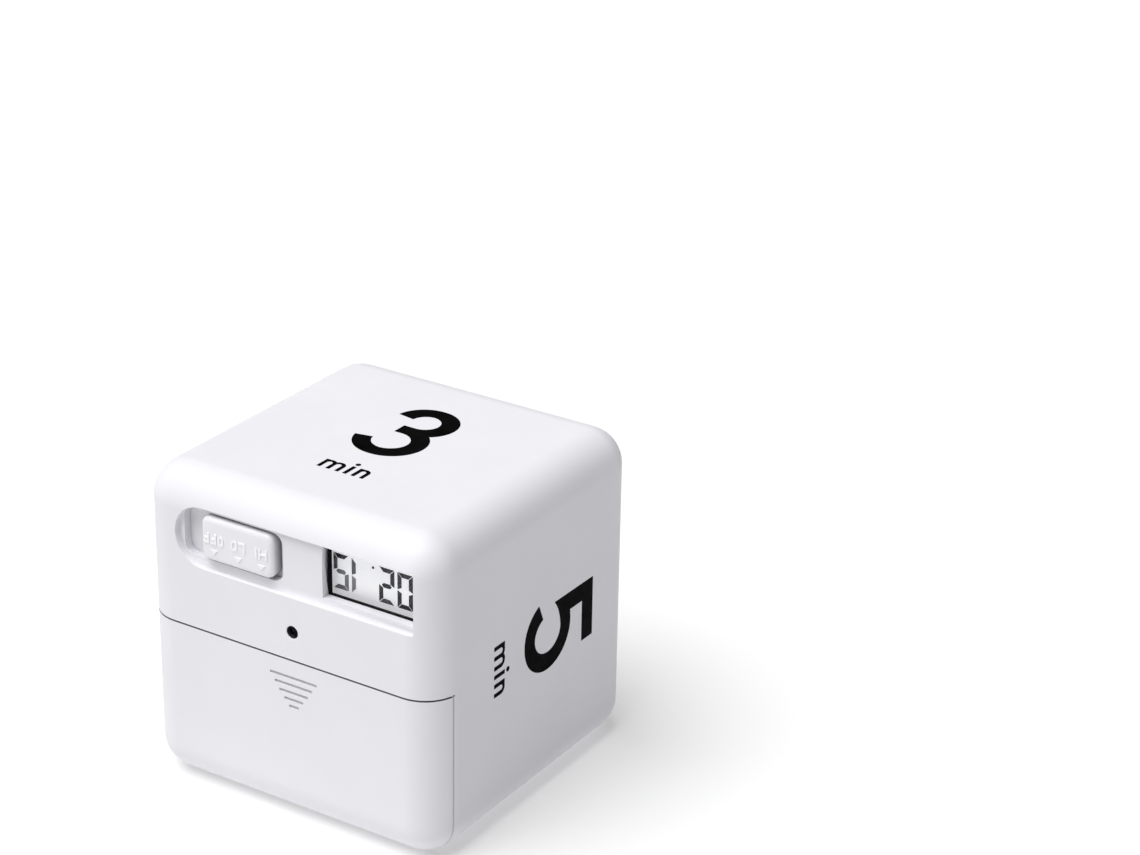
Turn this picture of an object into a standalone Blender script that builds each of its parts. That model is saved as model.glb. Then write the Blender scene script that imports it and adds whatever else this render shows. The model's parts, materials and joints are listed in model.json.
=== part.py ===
# Cube timer: a 60 mm cube with a switch, a small display and a battery door.
# The face with the switch looks towards -Y, and the cube stands on z = 0.
import math

import bpy
import bmesh
from mathutils import Vector

# All sizes below are in millimetres.
MM = 0.001

# Outer body
WIDE = 60.0
TALL = 58.0
BACK_Y = 30.0
FACE_Y = -29.7
EDGE_R = 6.5
WALL = 2.0

# Joints between the three shells
SEAM_Y = -24.4
COVER_GAP = 0.06
DOOR_GAP = 0.3
DOOR_TOP = 30.25
COVER_BOTTOM = 30.55

# Control panel on the front cover
PANEL_DEPTH = 1.1
FACE_THICK = 2.65
FLOOR_Y = FACE_Y + PANEL_DEPTH
INNER_Y = FACE_Y + FACE_THICK
PANEL = (-22.3, 25.45, 41.9, 52.85)
SLOT = (-21.1, -0.8, 43.4, 52.0)
WINDOW = (7.1, 25.43, 43.1, 52.83)
HOLE = (1.55, 35.6)
HOLE_R = 1.15

# Slide switch
KNOB_LONG = 14.7
KNOB_HIGH = 7.9
KNOB_X = -9.55
KNOB_Z = 47.75
SWITCH_TRAVEL = 4.0

# Battery bay and cells
BAY_X = 24.6
BAY_Z = (6.9, 28.9)
BAY_FLOOR = -16.4
CELL_R = 5.15
CELL_Y = -21.7
CELL_LOW = 12.3
CELL_HIGH = 23.4

# Circuit board
BOARD_Y = (-18.6, -17.4)
BOARD = (-25.6, 25.6, 32.4, 54.2)
BOSS_X = 22.5
BOSS_Z = 35.2

# Screws that hold the cover to the housing
LUG_X = 20.0
LUG_Z = 4.05


def clear_scene():
    for item in list(bpy.data.objects):
        bpy.data.objects.remove(item, do_unlink=True)


clear_scene()
parts = bpy.data.collections.new("cube_timer")
bpy.context.scene.collection.children.link(parts)
cutters = bpy.data.collections.new("cube_timer_cutters")
bpy.context.scene.collection.children.link(cutters)


def material(name, colour, roughness, metallic=0.0, transmission=0.0):
    """One Principled material with a plain colour."""
    mat = bpy.data.materials.new(name)
    mat.use_nodes = True
    shader = mat.node_tree.nodes["Principled BSDF"]
    shader.inputs["Base Color"].default_value = (*colour, 1.0)
    shader.inputs["Roughness"].default_value = roughness
    shader.inputs["Metallic"].default_value = metallic
    shader.inputs["Transmission Weight"].default_value = transmission
    mat.diffuse_color = (*colour, 1.0)
    return mat


def new_object(name, mesh, where, helper):
    """Link a mesh object at a place given in millimetres."""
    item = bpy.data.objects.new(name, mesh)
    item.location = Vector(where) * MM
    if helper:
        cutters.objects.link(item)
        item.hide_render = True
        item.display_type = "WIRE"
    else:
        parts.objects.link(item)
    return item


def box(name, low, high, helper=True):
    """A box between two corners, with its origin at its centre."""
    size = [h - l for l, h in zip(low, high)]
    middle = [(h + l) / 2 for l, h in zip(low, high)]
    shape = bmesh.new()
    bmesh.ops.create_cube(shape, size=1.0)
    for vert in shape.verts:
        vert.co = Vector([c * s * MM for c, s in zip(vert.co, size)])
    mesh = bpy.data.meshes.new(name)
    shape.to_mesh(mesh)
    shape.free()
    return new_object(name, mesh, middle, helper)


def round_edges(item, radius, segments, angle=30.0):
    """Round every edge that is sharper than the angle."""
    bevel = item.modifiers.new("rounded_edges", "BEVEL")
    bevel.width = radius * MM
    bevel.segments = segments
    bevel.limit_method = "ANGLE"
    bevel.angle_limit = math.radians(angle)
    return bevel


def round_upright(item, axis, radius, segments, side=0, small=1.0):
    """Round the four edges along one axis; one side can have a smaller radius."""
    mesh = item.data
    weights = mesh.attributes.new("bevel_weight_edge", "FLOAT", "EDGE")
    for edge in mesh.edges:
        a = mesh.vertices[edge.vertices[0]].co
        b = mesh.vertices[edge.vertices[1]].co
        run = [abs(p - q) for p, q in zip(a, b)]
        if run[axis] > max(run[axis - 1], run[axis - 2]):
            weights.data[edge.index].value = small if side * a.x > 0 else 1.0
    bevel = item.modifiers.new("upright_edges", "BEVEL")
    bevel.width = radius * MM
    bevel.segments = segments
    bevel.limit_method = "WEIGHT"
    return bevel


def turn_to(item, axis):
    """Turn an object that is modelled along Z to another axis."""
    turns = {"x": (0, math.pi / 2, 0), "-x": (0, -math.pi / 2, 0),
             "y": (-math.pi / 2, 0, 0), "-y": (math.pi / 2, 0, 0), "z": (0, 0, 0)}
    item.rotation_euler = turns[axis]


def rod(name, where, axis, length, radius, sides=24, tip=None, helper=True):
    """A cylinder or cone that starts at a place and runs along an axis."""
    shape = bmesh.new()
    top = radius if tip is None else tip
    bmesh.ops.create_cone(shape, cap_ends=True, segments=sides, radius1=radius * MM,
                          radius2=top * MM, depth=length * MM)
    bmesh.ops.translate(shape, vec=(0, 0, length * MM / 2), verts=shape.verts)
    mesh = bpy.data.meshes.new(name)
    shape.to_mesh(mesh)
    shape.free()
    item = new_object(name, mesh, where, helper)
    turn_to(item, axis)
    return item


def turned(name, profile, where, axis, steps=24, helper=False):
    """A turned piece: the profile of (radius, height) runs from top to bottom."""
    mesh = bpy.data.meshes.new(name)
    verts = [(r * MM, 0.0, h * MM) for r, h in profile]
    edges = [(i, i + 1) for i in range(len(profile) - 1)]
    mesh.from_pydata(verts, edges, [])
    item = new_object(name, mesh, where, helper)
    turn_to(item, axis)
    screw = item.modifiers.new("turned", "SCREW")
    screw.steps = steps
    screw.render_steps = steps
    screw.use_merge_vertices = True
    screw.merge_threshold = 0.000001
    screw.use_smooth_shade = True
    return item


def tube(name, points, radius, where=(0, 0, 0), resolution=2):
    """A round wire along points, with closed ends."""
    curve = bpy.data.curves.new(name, "CURVE")
    curve.dimensions = "3D"
    curve.bevel_depth = radius * MM
    curve.bevel_resolution = resolution
    curve.use_fill_caps = True
    line = curve.splines.new("POLY")
    line.points.add(len(points) - 1)
    for spot, place in zip(line.points, points):
        spot.co = (*[(p - w) * MM for p, w in zip(place, where)], 1.0)
    item = bpy.data.objects.new(name, curve)
    item.location = Vector(where) * MM
    parts.objects.link(item)
    return item


def boolean(item, other, operation):
    step = item.modifiers.new(operation.lower() + "_" + other.name, "BOOLEAN")
    step.operation = operation
    step.solver = "EXACT"
    step.object = other
    return item


def cut(item, *others):
    for other in others:
        boolean(item, other, "DIFFERENCE")
    return item


def add(item, *others):
    for other in others:
        boolean(item, other, "UNION")
    return item


def finish(item, mat, smooth=True):
    """Give a part its material and its shading."""
    item.data.materials.append(mat)
    if item.type == "MESH":
        for face in item.data.polygons:
            face.use_smooth = smooth
    return item


def outline(bounds, radii, grow, count):
    """Points round a rectangle whose left and right corners have their own radius.

    grow moves the line outwards, and the corner radii grow with it.
    """
    x0, x1, z0, z1 = bounds
    line = []
    corners = ((x1, z0, radii[1], -90), (x1, z1, radii[1], 0),
               (x0, z1, radii[0], 90), (x0, z0, radii[0], 180))
    for cx, cz, radius, start in corners:
        mx = cx - radius if cx == x1 else cx + radius
        mz = cz - radius if cz == z1 else cz + radius
        for k in range(count + 1):
            turn = math.radians(start + 90 * k / count)
            reach = radius + grow
            line.append((mx + reach * math.cos(turn), mz + reach * math.sin(turn)))
    return line


def flared_cutter(name, bounds, radii, floor_y, face_y, lip, count=6):
    """A cutter for a sunk panel, whose mouth opens in a quarter round of radius lip."""
    shape = bmesh.new()
    levels = [(floor_y, 0.0), (face_y + lip, 0.0)]
    for k in (1, 2, 3, 4):
        turn = math.radians(22.5 * k)
        levels.append((face_y + lip * (1 - math.sin(turn)), lip * (1 - math.cos(turn))))
    levels.append((face_y - 1.0, lip + 0.02))
    rings = []
    for y, grow in levels:
        ring = outline(bounds, radii, grow, count)
        rings.append([shape.verts.new((x * MM, y * MM, z * MM)) for x, z in ring])
    for lower, upper in zip(rings, rings[1:]):
        for k in range(len(lower)):
            j = (k + 1) % len(lower)
            shape.faces.new((lower[k], lower[j], upper[j], upper[k]))
    shape.faces.new(rings[0])
    shape.faces.new(list(reversed(rings[-1])))
    bmesh.ops.recalc_face_normals(shape, faces=shape.faces)
    mesh = bpy.data.meshes.new(name)
    shape.to_mesh(mesh)
    shape.free()
    return new_object(name, mesh, (0, 0, 0), True)


def body_block(name, helper=False):
    """The whole rounded cube, before it is divided into shells."""
    item = box(name, (-WIDE / 2, FACE_Y, 0), (WIDE / 2, BACK_Y, TALL), helper)
    round_edges(item, EDGE_R, 10)
    return item


def main_housing(mat):
    """Five-sided shell with two screw bosses and two latch pockets."""
    item = body_block("main_housing")
    cut(item, box("housing_front_off", (-40, -40, -10), (40, SEAM_Y + COVER_GAP, 70)))
    room = box("housing_room", (-WIDE / 2 + WALL, -40, WALL),
               (WIDE / 2 - WALL, BACK_Y - WALL, TALL - WALL))
    round_edges(room, EDGE_R - WALL, 4)
    cut(item, room)
    for side in (-1, 1):
        tag = "left" if side < 0 else "right"
        x = side * LUG_X
        boss = box("housing_boss_" + tag, (x - 2.4, -21.7, 1.0), (x + 2.4, -12.0, 5.5))
        pilot = rod("housing_pilot_" + tag, (x, -22.5, LUG_Z), "y", 9.5, 1.05, 16)
        pocket = box("housing_pocket_" + tag, (side * 18 - 2.4, -21.8, 55.5),
                     (side * 18 + 2.4, -19.6, 57.0))
        add(item, boss)
        cut(item, pilot, pocket)
    return finish(item, mat)


def front_cover(mat):
    """Upper half of the control face, with the battery tray moulded on below it."""
    item = body_block("front_cover")
    cut(item, box("cover_back_off", (-40, SEAM_Y - COVER_GAP, -10), (40, 40, 70)))
    cut(item, box("cover_low_off", (-40, -40, -10), (40, 40, COVER_BOTTOM)))
    lip = box("cover_lip", (-27.75, -26.0, 31.0), (27.75, -22.6, 55.75))
    round_upright(lip, 1, 4.2, 4)
    add(item, lip)
    room = box("cover_room", (-26.7, INNER_Y, 31.8), (26.7, -10.0, 54.7))
    round_edges(room, 2.0, 3)
    cut(item, room)
    # The base plate of the knob slides in this pocket.
    cut(item, box("cover_plate_pocket", (-26.6, INNER_Y, 41.9), (3.9, -20.0, 53.9)))
    # The window, the gasket and the glass plates sit in this one.
    cut(item, box("cover_display_pocket", (5.3, INNER_Y, 41.2), (26.4, -20.0, 54.1)))
    # Sunk control panel, switch slot, display window and sound hole.
    cut(item, flared_cutter("panel_cut", PANEL, (5.46, 0.4), FLOOR_Y, FACE_Y, 0.15))
    slot = box("slot_cut", (SLOT[0], -32, SLOT[2]), (SLOT[1], -20, SLOT[3]))
    round_upright(slot, 1, 1.9, 4)
    window = box("window_cut", (WINDOW[0], -32, WINDOW[2]), (WINDOW[1], -20, WINDOW[3]))
    cut(item, slot, window)
    ring = rod("sound_ring", (HOLE[0], INNER_Y - 0.5, HOLE[1]), "y", 2.4, 2.9, 24)
    bore = rod("sound_bore", (HOLE[0], FACE_Y + 1.3, HOLE[1]), "y", 8.0, 2.1, 24)
    mouth = rod("sound_mouth", (HOLE[0], FACE_Y - 0.2, HOLE[1]), "y", 0.3, HOLE_R + 0.3, 20,
                tip=HOLE_R)
    hole = rod("sound_hole", (HOLE[0], -32, HOLE[1]), "y", 8.0, HOLE_R, 20)
    add(item, ring)
    cut(item, bore, hole, mouth)
    # Ribs that place the display.
    add(item, box("display_rib_side", (4.4, INNER_Y - 0.3, 40.3), (5.3, -18.75, 54.9)),
        box("display_rib_low", (4.4, INNER_Y - 0.3, 40.3), (26.9, -22.0, 41.2)))
    # Bosses for the circuit board, and two hooks over its upper edge.
    for side in (-1, 1):
        tag = "left" if side < 0 else "right"
        boss = rod("board_boss_" + tag, (side * BOSS_X, INNER_Y - 0.3, BOSS_Z), "y",
                   BOARD_Y[0] - 0.15 - INNER_Y + 0.3, 2.3, 20)
        pilot = rod("board_pilot_" + tag, (side * BOSS_X, -24.5, BOSS_Z), "y", 8.0, 1.05, 16)
        add(item, boss)
        cut(item, pilot)
        x = side * 12.0
        add(item, box("board_hook_" + tag, (x - 1.5, -24.0, 54.5), (x + 1.5, -16.0, 55.5)),
            box("board_hook_tip_" + tag, (x - 1.5, -17.1, 53.4), (x + 1.5, -16.0, 54.8)))
        x = side * 18.0
        add(item, box("latch_arm_" + tag, (x - 2.0, -24.0, 54.6), (x + 2.0, -20.0, 55.7)),
            box("latch_tip_" + tag, (x - 2.0, -21.3, 55.2), (x + 2.0, -20.0, 56.6)))
    # Battery tray.
    tray = box("tray_block", (-25.8, -27.0, 5.8), (25.8, -15.2, 31.5))
    add(item, tray)
    add(item, box("tray_flanges", (-27.2, -27.0, 7.0), (27.2, -25.8, 28.0)))
    cut(item, box("tray_room", (-BAY_X, -32.0, BAY_Z[0]), (BAY_X, BAY_FLOOR, BAY_Z[1])))
    cut(item, box("tab_pocket", (-5.4, -28.3, 28.6), (5.4, -26.4, 31.3)))
    for side in (-1, 1):
        tag = "left" if side < 0 else "right"
        x = side * LUG_X
        add(item, box("cover_lug_" + tag, (x - 2.5, -24.2, 2.35), (x + 2.5, -22.0, 6.2)))
        cut(item, rod("lug_hole_" + tag, (x, -25.5, LUG_Z), "y", 5.0, 1.15, 16))
    # Openings in the tray's floor for the tails of the contacts.
    cut(item, box("tail_hole_low", (23.9, -20.0, 10.9), (24.6, -10.0, 13.7)),
        box("tail_hole_high", (23.9, -20.0, 22.0), (24.6, -10.0, 24.8)))
    return finish(item, mat)


def battery_door(mat):
    """Lower half of the control face, with guide tongues, a tab and an arrow of grooves."""
    item = body_block("battery_door")
    cut(item, box("door_back_off", (-40, SEAM_Y - DOOR_GAP, -10), (40, 40, 70)))
    cut(item, box("door_high_off", (-40, -40, DOOR_TOP), (40, 40, 70)))
    room = box("door_room", (-28.0, FACE_Y + WALL, WALL), (28.0, 0.0, 60.0))
    round_edges(room, 2.0, 3)
    cut(item, room)
    for side in (-1, 1):
        tag = "left" if side < 0 else "right"
        low, high = sorted((side * 26.2, side * 28.6))
        add(item, box("door_tongue_" + tag, (low, -25.5, 9.0), (high, -24.7, 25.0)))
    add(item, box("door_tab", (-5.0, -28.1, 27.0), (5.0, -27.2, 31.0)))
    lengths = (9.6, 7.7, 5.9, 3.9, 2.0)
    heights = (27.1, 25.7, 24.3, 23.0, 21.75)
    for k, (length, z) in enumerate(zip(lengths, heights)):
        groove = box("arrow_groove_%d" % k, (HOLE[0] - length / 2, -31.0, z - 0.27),
                     (HOLE[0] + length / 2, FACE_Y + 0.3, z + 0.27))
        round_edges(groove, 0.2, 3)
        cut(item, groove)
    return finish(item, mat)


def switch_knob(mat):
    """Finger piece of the slide switch with its base plate and its fork."""
    half = KNOB_LONG / 2
    item = box("switch_knob", (KNOB_X - half, -29.6, KNOB_Z - KNOB_HIGH / 2),
               (KNOB_X + half, -26.3, KNOB_Z + KNOB_HIGH / 2), False)
    round_upright(item, 1, 1.5, 4)
    round_edges(item, 0.8, 4, 60.0)
    plate = box("knob_plate", (-22.1, -27.0, 42.3), (3.5, -25.7, 53.6))
    fork = box("knob_fork", (KNOB_X - 2.1, -26.0, KNOB_Z - 2.1),
               (KNOB_X + 2.1, -23.4, KNOB_Z + 2.1))
    room = box("knob_fork_room", (KNOB_X - 0.95, -25.5, KNOB_Z - 0.95),
               (KNOB_X + 0.95, -20.0, KNOB_Z + 0.95))
    add(item, plate, fork)
    cut(item, room)
    return finish(item, mat)


def switch_can(mat):
    """Sheet metal shell of the slide switch, open towards the board."""
    mid = KNOB_X - SWITCH_TRAVEL / 2
    item = box("switch_can", (mid - 6.5, -22.6, KNOB_Z - 2.8), (mid + 6.5, -18.75, KNOB_Z + 2.8),
               False)
    round_upright(item, 1, 0.4, 2)
    cut(item, box("can_room", (mid - 6.2, -22.3, KNOB_Z - 2.5), (mid + 6.2, -15.0, KNOB_Z + 2.5)),
        box("can_slot", (mid - 3.0, -24.0, KNOB_Z - 0.95), (mid + 3.0, -20.0, KNOB_Z + 0.95)))
    return finish(item, mat)


def switch_base(mat):
    """Insulating base of the slide switch with its four soldered legs."""
    mid = KNOB_X - SWITCH_TRAVEL / 2
    item = box("switch_base", (mid - 6.0, -19.6, KNOB_Z - 2.3), (mid + 6.0, -18.7, KNOB_Z + 2.3),
               False)
    for k in range(4):
        x = mid - 3.0 + 2.0 * k
        add(item, rod("switch_leg_%d" % k, (x, -19.2, KNOB_Z), "y", 2.7, 0.3, 8))
    return finish(item, mat, False)


def switch_actuator(mat):
    """Slider of the switch: a block in the can with a stub through its slot."""
    item = box("switch_actuator", (KNOB_X - 3.0, -22.1, KNOB_Z - 2.2),
               (KNOB_X + 3.0, -19.8, KNOB_Z + 2.2), False)
    stub = box("actuator_stub", (KNOB_X - 0.75, -25.3, KNOB_Z - 0.75),
               (KNOB_X + 0.75, -21.8, KNOB_Z + 0.75))
    add(item, stub)
    return finish(item, mat, False)


def display_parts(mats):
    """Gasket, window, two glass plates, reflector, contact strip and foam strip."""
    gasket = box("lcd_gasket", (5.9, -27.0, 41.9), (26.1, -26.68, 53.7), False)
    cut(gasket, box("gasket_room", (7.65, -28, 43.3), (25.5, -25, 52.75)))
    finish(gasket, mats["black"], False)
    lens = box("lcd_lens", (5.7, -26.63, 41.6), (26.2, -26.03, 53.9), False)
    round_upright(lens, 1, 0.5, 2)
    finish(lens, mats["clear"], False)
    front = box("lcd_front_glass", (5.7, -25.98, 41.5), (26.2, -25.28, 53.9), False)
    finish(front, mats["lcd"], False)
    rear = box("lcd_rear_glass", (5.7, -25.23, 42.5), (26.2, -24.53, 53.9), False)
    finish(rear, mats["lcd"], False)
    foil = box("lcd_reflector", (6.0, -24.48, 42.7), (25.9, -24.3, 53.6), False)
    finish(foil, mats["silver"], False)
    strip = box("lcd_contact_strip", (6.2, -25.2, 41.5), (25.4, -18.7, 42.4), False)
    round_upright(strip, 0, 0.25, 2)
    finish(strip, mats["rubber"], False)
    foam = box("lcd_foam_strip", (6.2, -24.2, 51.6), (25.4, -18.7, 53.6), False)
    round_upright(foam, 0, 0.4, 2)
    finish(foam, mats["foam"], False)


def board_parts(mats):
    """Circuit board with the pieces soldered to it."""
    x0, x1, z0, z1 = BOARD
    board = box("main_board", (x0, BOARD_Y[0], z0), (x1, BOARD_Y[1], z1), False)
    round_upright(board, 1, 1.0, 3)
    for side in (-1, 1):
        tag = "left" if side < 0 else "right"
        cut(board, rod("board_hole_" + tag, (side * BOSS_X, -19.5, BOSS_Z), "y", 3.0, 1.2, 16))
        cut(board, box("board_notch_" + tag, (side * 12 - 1.8, -19.5, 54.1),
                       (side * 12 + 1.8, -16.5, 55.0)))
    mid = KNOB_X - SWITCH_TRAVEL / 2
    for k in range(4):
        x = mid - 3.0 + 2.0 * k
        cut(board, rod("board_leg_hole_%d" % k, (x, -19.5, KNOB_Z), "y", 3.0, 0.45, 8))
    finish(board, mats["board"], False)
    back = BOARD_Y[1] + 0.05
    dome = [(0.0, 1.5), (1.6, 1.4), (3.0, 1.0), (3.9, 0.4), (4.1, 0.0), (0.0, 0.0)]
    finish(turned("chip_blob", dome, (10.0, back, 46.0), "y", 24), mats["black"])
    crystal = [(0.0, 6.0), (0.7, 6.0), (1.0, 5.7), (1.0, 0.0), (0.0, 0.0)]
    item = turned("crystal", crystal, (16.5, back + 1.05, 42.0), "z", 16)
    finish(item, mats["silver"])
    can = [(0.0, 6.8), (2.1, 6.8), (2.5, 6.4), (2.5, 1.8), (2.2, 1.5), (2.5, 1.2),
           (2.5, 0.0), (0.0, 0.0)]
    finish(turned("capacitor", can, (21.3, back, 48.5), "y", 20), mats["sleeve"])
    sot = box("transistor", (-9.5, back + 0.15, 36.2), (-6.6, back + 1.15, 37.6), False)
    add(sot, box("transistor_leg_a", (-9.2, back, 35.3), (-8.7, back + 0.45, 36.6)),
        box("transistor_leg_b", (-7.4, back, 35.3), (-6.9, back + 0.45, 36.6)),
        box("transistor_leg_c", (-8.3, back, 37.2), (-7.8, back + 0.45, 38.5)))
    finish(sot, mats["black"], False)
    for k, x in enumerate((-3.5, 1.0)):
        chip = box("resistor_%d" % (k + 1), (x, back, 36.0), (x + 3.2, back + 0.6, 37.6), False)
        round_edges(chip, 0.1, 1)
        finish(chip, mats["resistor"], False)


def buzzer_parts(mats):
    """Case with a sound opening, thin metal disc and base with its core."""
    x, z = HOLE[0], HOLE[1] + 0.9
    case = turned("buzzer_case", [(1.0, 5.2), (3.9, 5.2), (4.2, 4.9), (4.2, 0.0), (3.7, 0.0),
                                  (3.7, 4.5), (1.0, 4.5), (1.0, 5.2)],
                  (x, BOARD_Y[0] - 0.15, z), "-y", 28)
    finish(case, mats["black"])
    disc = turned("buzzer_disc", [(0.0, 0.2), (3.4, 0.2), (3.4, 0.0), (0.0, 0.0)],
                  (x, BOARD_Y[0] - 3.9, z), "-y", 24)
    finish(disc, mats["silver"])
    base = turned("buzzer_base", [(0.0, 3.2), (1.1, 3.2), (1.1, 1.0), (3.5, 1.0), (3.5, 0.0),
                                  (0.0, 0.0)], (x, BOARD_Y[0] - 0.15, z), "-y", 24)
    finish(base, mats["magnet"])


def tilt_switch(name, where, turn, mats, bent):
    """The can and the base of a tilt switch; its loose ball is made apart.

    The can's axis starts at the base, and turn gives its direction. Bent legs
    run from the end of the base to the board behind the lying can.
    """
    can = turned(name + "_can", [(0.0, 6.5), (2.2, 6.5), (2.5, 6.2), (2.5, 0.0), (2.1, 0.0),
                                 (2.1, 6.0), (0.0, 6.0)], where, "z", 20)
    can.rotation_euler = turn
    finish(can, mats["silver"])
    base = turned(name + "_base", [(0.0, 1.1), (1.95, 1.1), (1.95, -0.3), (0.0, -0.3)],
                  where, "z", 20)
    base.rotation_euler = turn
    for k, side in enumerate((-0.8, 0.8)):
        leg = rod(name + "_leg_%d" % k, (0, 0, 0), "z", 1.6, 0.25, 8)
        leg.parent = base
        leg.location = Vector((side, 0, -1.7)) * MM
        add(base, leg)
        if bent:
            foot = box(name + "_foot_%d" % k, (-0.22, -2.6, -0.22), (0.22, 0.2, 0.22))
            foot.parent = base
            foot.location = Vector((side, -1.2, -1.45)) * MM
            add(base, foot)
    finish(base, mats["black"])
    return can


def balls(mats):
    """The three loose balls; each has its own empty on its line of travel."""
    for name, where in (("tilt_left_ball", BALL_LEFT), ("tilt_right_ball", BALL_RIGHT),
                        ("tilt_front_ball", BALL_FRONT)):
        shape = bmesh.new()
        bmesh.ops.create_uvsphere(shape, u_segments=16, v_segments=10, radius=1.4 * MM)
        mesh = bpy.data.meshes.new(name)
        shape.to_mesh(mesh)
        shape.free()
        finish(new_object(name, mesh, where, False), mats["brass"])


def cell(name, z, side, mat):
    """A round cell; side is +1 when its button end points to +X."""
    profile = [(0.0, 22.25), (1.9, 22.25), (1.9, 21.5), (2.4, 21.4), (4.6, 21.4), (5.0, 21.2),
               (CELL_R, 20.9), (CELL_R, -21.9), (4.9, -22.2), (3.6, -22.25), (3.4, -22.0),
               (0.0, -22.0)]
    item = turned(name, profile, (side * 1.3, CELL_Y, z), "x" if side > 0 else "-x", 28)
    return finish(item, mat)


def contacts(mats):
    """Plates at the ends of the bay, with a pressed button where a cell's nub meets them."""
    bridge = box("contact_bridge", (-24.5, -25.8, 8.3), (-24.1, -17.0, 27.4), False)
    add(bridge, rod("bridge_button", (-24.2, CELL_Y, CELL_LOW), "x", 0.5, 2.2, 16, tip=1.4))
    finish(bridge, mats["nickel"], False)
    plus = box("contact_positive", (24.1, -25.8, 19.4), (24.5, -17.0, 27.4), False)
    add(plus, rod("plus_button", (24.2, CELL_Y, CELL_HIGH), "-x", 0.5, 2.2, 16, tip=1.4),
        box("plus_tail", (24.1, -17.5, 22.6), (24.5, -13.2, 24.2)))
    finish(plus, mats["nickel"], False)
    minus = box("contact_negative", (24.1, -25.8, 8.3), (24.5, -17.0, 16.3), False)
    add(minus, box("minus_tail", (24.1, -17.5, 11.5), (24.5, -13.2, 13.1)))
    finish(minus, mats["nickel"], False)


def spring(name, x_plate, x_cell, z, mat):
    """A cone-shaped contact spring of one wire, and the least gap between its turns."""
    turns, per_turn, wire = 3.25, 10, 0.28
    count = int(turns * per_turn)
    points = []
    for k in range(count + 1):
        part = k / count
        radius = 4.0 - 2.3 * part
        angle = 2 * math.pi * turns * part
        x = x_plate + (x_cell - x_plate) * part
        points.append((x, CELL_Y + radius * math.cos(angle), z + radius * math.sin(angle)))
    gap = 99.0
    for i, one in enumerate(points):
        for other in points[i + 6:]:
            gap = min(gap, math.dist(one, other) - 2 * wire)
    print(name, "least gap between turns, mm:", round(gap, 2))
    item = tube(name, points, wire, (x_plate, CELL_Y, z), 1)
    return finish(item, mat)


def lead(name, z, exit_x, exit_z, mat):
    """A wire from a contact's tail, up behind the tray, to the back of the board."""
    start = Vector((24.3, -12.6, z))
    knots = [start, start + Vector((-0.3, 1.2, 0.3)), Vector((exit_x + 1.2, -11.0, z + 3.0)),
             Vector((exit_x + 0.6, -11.2, 31.0)), Vector((exit_x, -12.6, exit_z - 1.0)),
             Vector((exit_x, -15.2, exit_z)), Vector((exit_x, -17.25, exit_z))]
    points = []
    for i in range(len(knots) - 1):
        p0 = knots[max(i - 1, 0)]
        p1, p2 = knots[i], knots[i + 1]
        p3 = knots[min(i + 2, len(knots) - 1)]
        for k in range(4):
            t = k / 4
            points.append(0.5 * (2 * p1 + (p2 - p0) * t + (2 * p0 - 5 * p1 + 4 * p2 - p3) * t * t
                                 + (3 * p1 - p0 - 3 * p2 + p3) * t ** 3))
    points.append(knots[-1])
    return finish(tube(name, points, 0.55, start, 2), mat)


def screws(mats):
    """Two screws for the cover and two for the board."""
    for side in (-1, 1):
        tag = "left" if side < 0 else "right"
        shank = [(0.0, 1.4), (1.1, 1.35), (1.6, 0.9), (1.6, 0.0), (0.9, 0.0), (0.9, -7.6),
                 (0.0, -8.4)]
        item = turned("cover_screw_" + tag, shank, (side * LUG_X, -24.25, LUG_Z), "-y", 16)
        cross = box("cover_cross_a_" + tag, (side * LUG_X - 0.9, -26.0, LUG_Z - 0.18),
                    (side * LUG_X + 0.9, -25.1, LUG_Z + 0.18))
        cross_b = box("cover_cross_b_" + tag, (side * LUG_X - 0.18, -26.0, LUG_Z - 0.9),
                      (side * LUG_X + 0.18, -25.1, LUG_Z + 0.9))
        cut(item, cross, cross_b)
        finish(item, mats["screw"])
        shank = [(0.0, 1.3), (1.2, 1.25), (1.8, 0.8), (1.8, 0.0), (0.9, 0.0), (0.9, -5.2),
                 (0.0, -6.0)]
        item = turned("board_screw_" + tag, shank, (side * BOSS_X, BOARD_Y[1] + 0.05, BOSS_Z),
                      "y", 16)
        finish(item, mats["screw"])


# Places of the tilt switches on the back of the board
TILT_Y = BOARD_Y[1] + 2.7
LEFT_AT = (-13.0, TILT_Y, 43.0)
RIGHT_AT = (-6.0, TILT_Y, 43.0)
FRONT_AT = (-18.6, BOARD_Y[1] + 1.8, 38.8)
SLANT = math.sqrt(0.5)
BALL_START = 2.65
BALL_LEFT = (LEFT_AT[0] - SLANT * BALL_START, TILT_Y, LEFT_AT[2] + SLANT * BALL_START)
BALL_RIGHT = (RIGHT_AT[0] + SLANT * BALL_START, TILT_Y, RIGHT_AT[2] + SLANT * BALL_START)
BALL_FRONT = (FRONT_AT[0], FRONT_AT[1] + BALL_START, FRONT_AT[2])


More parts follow.
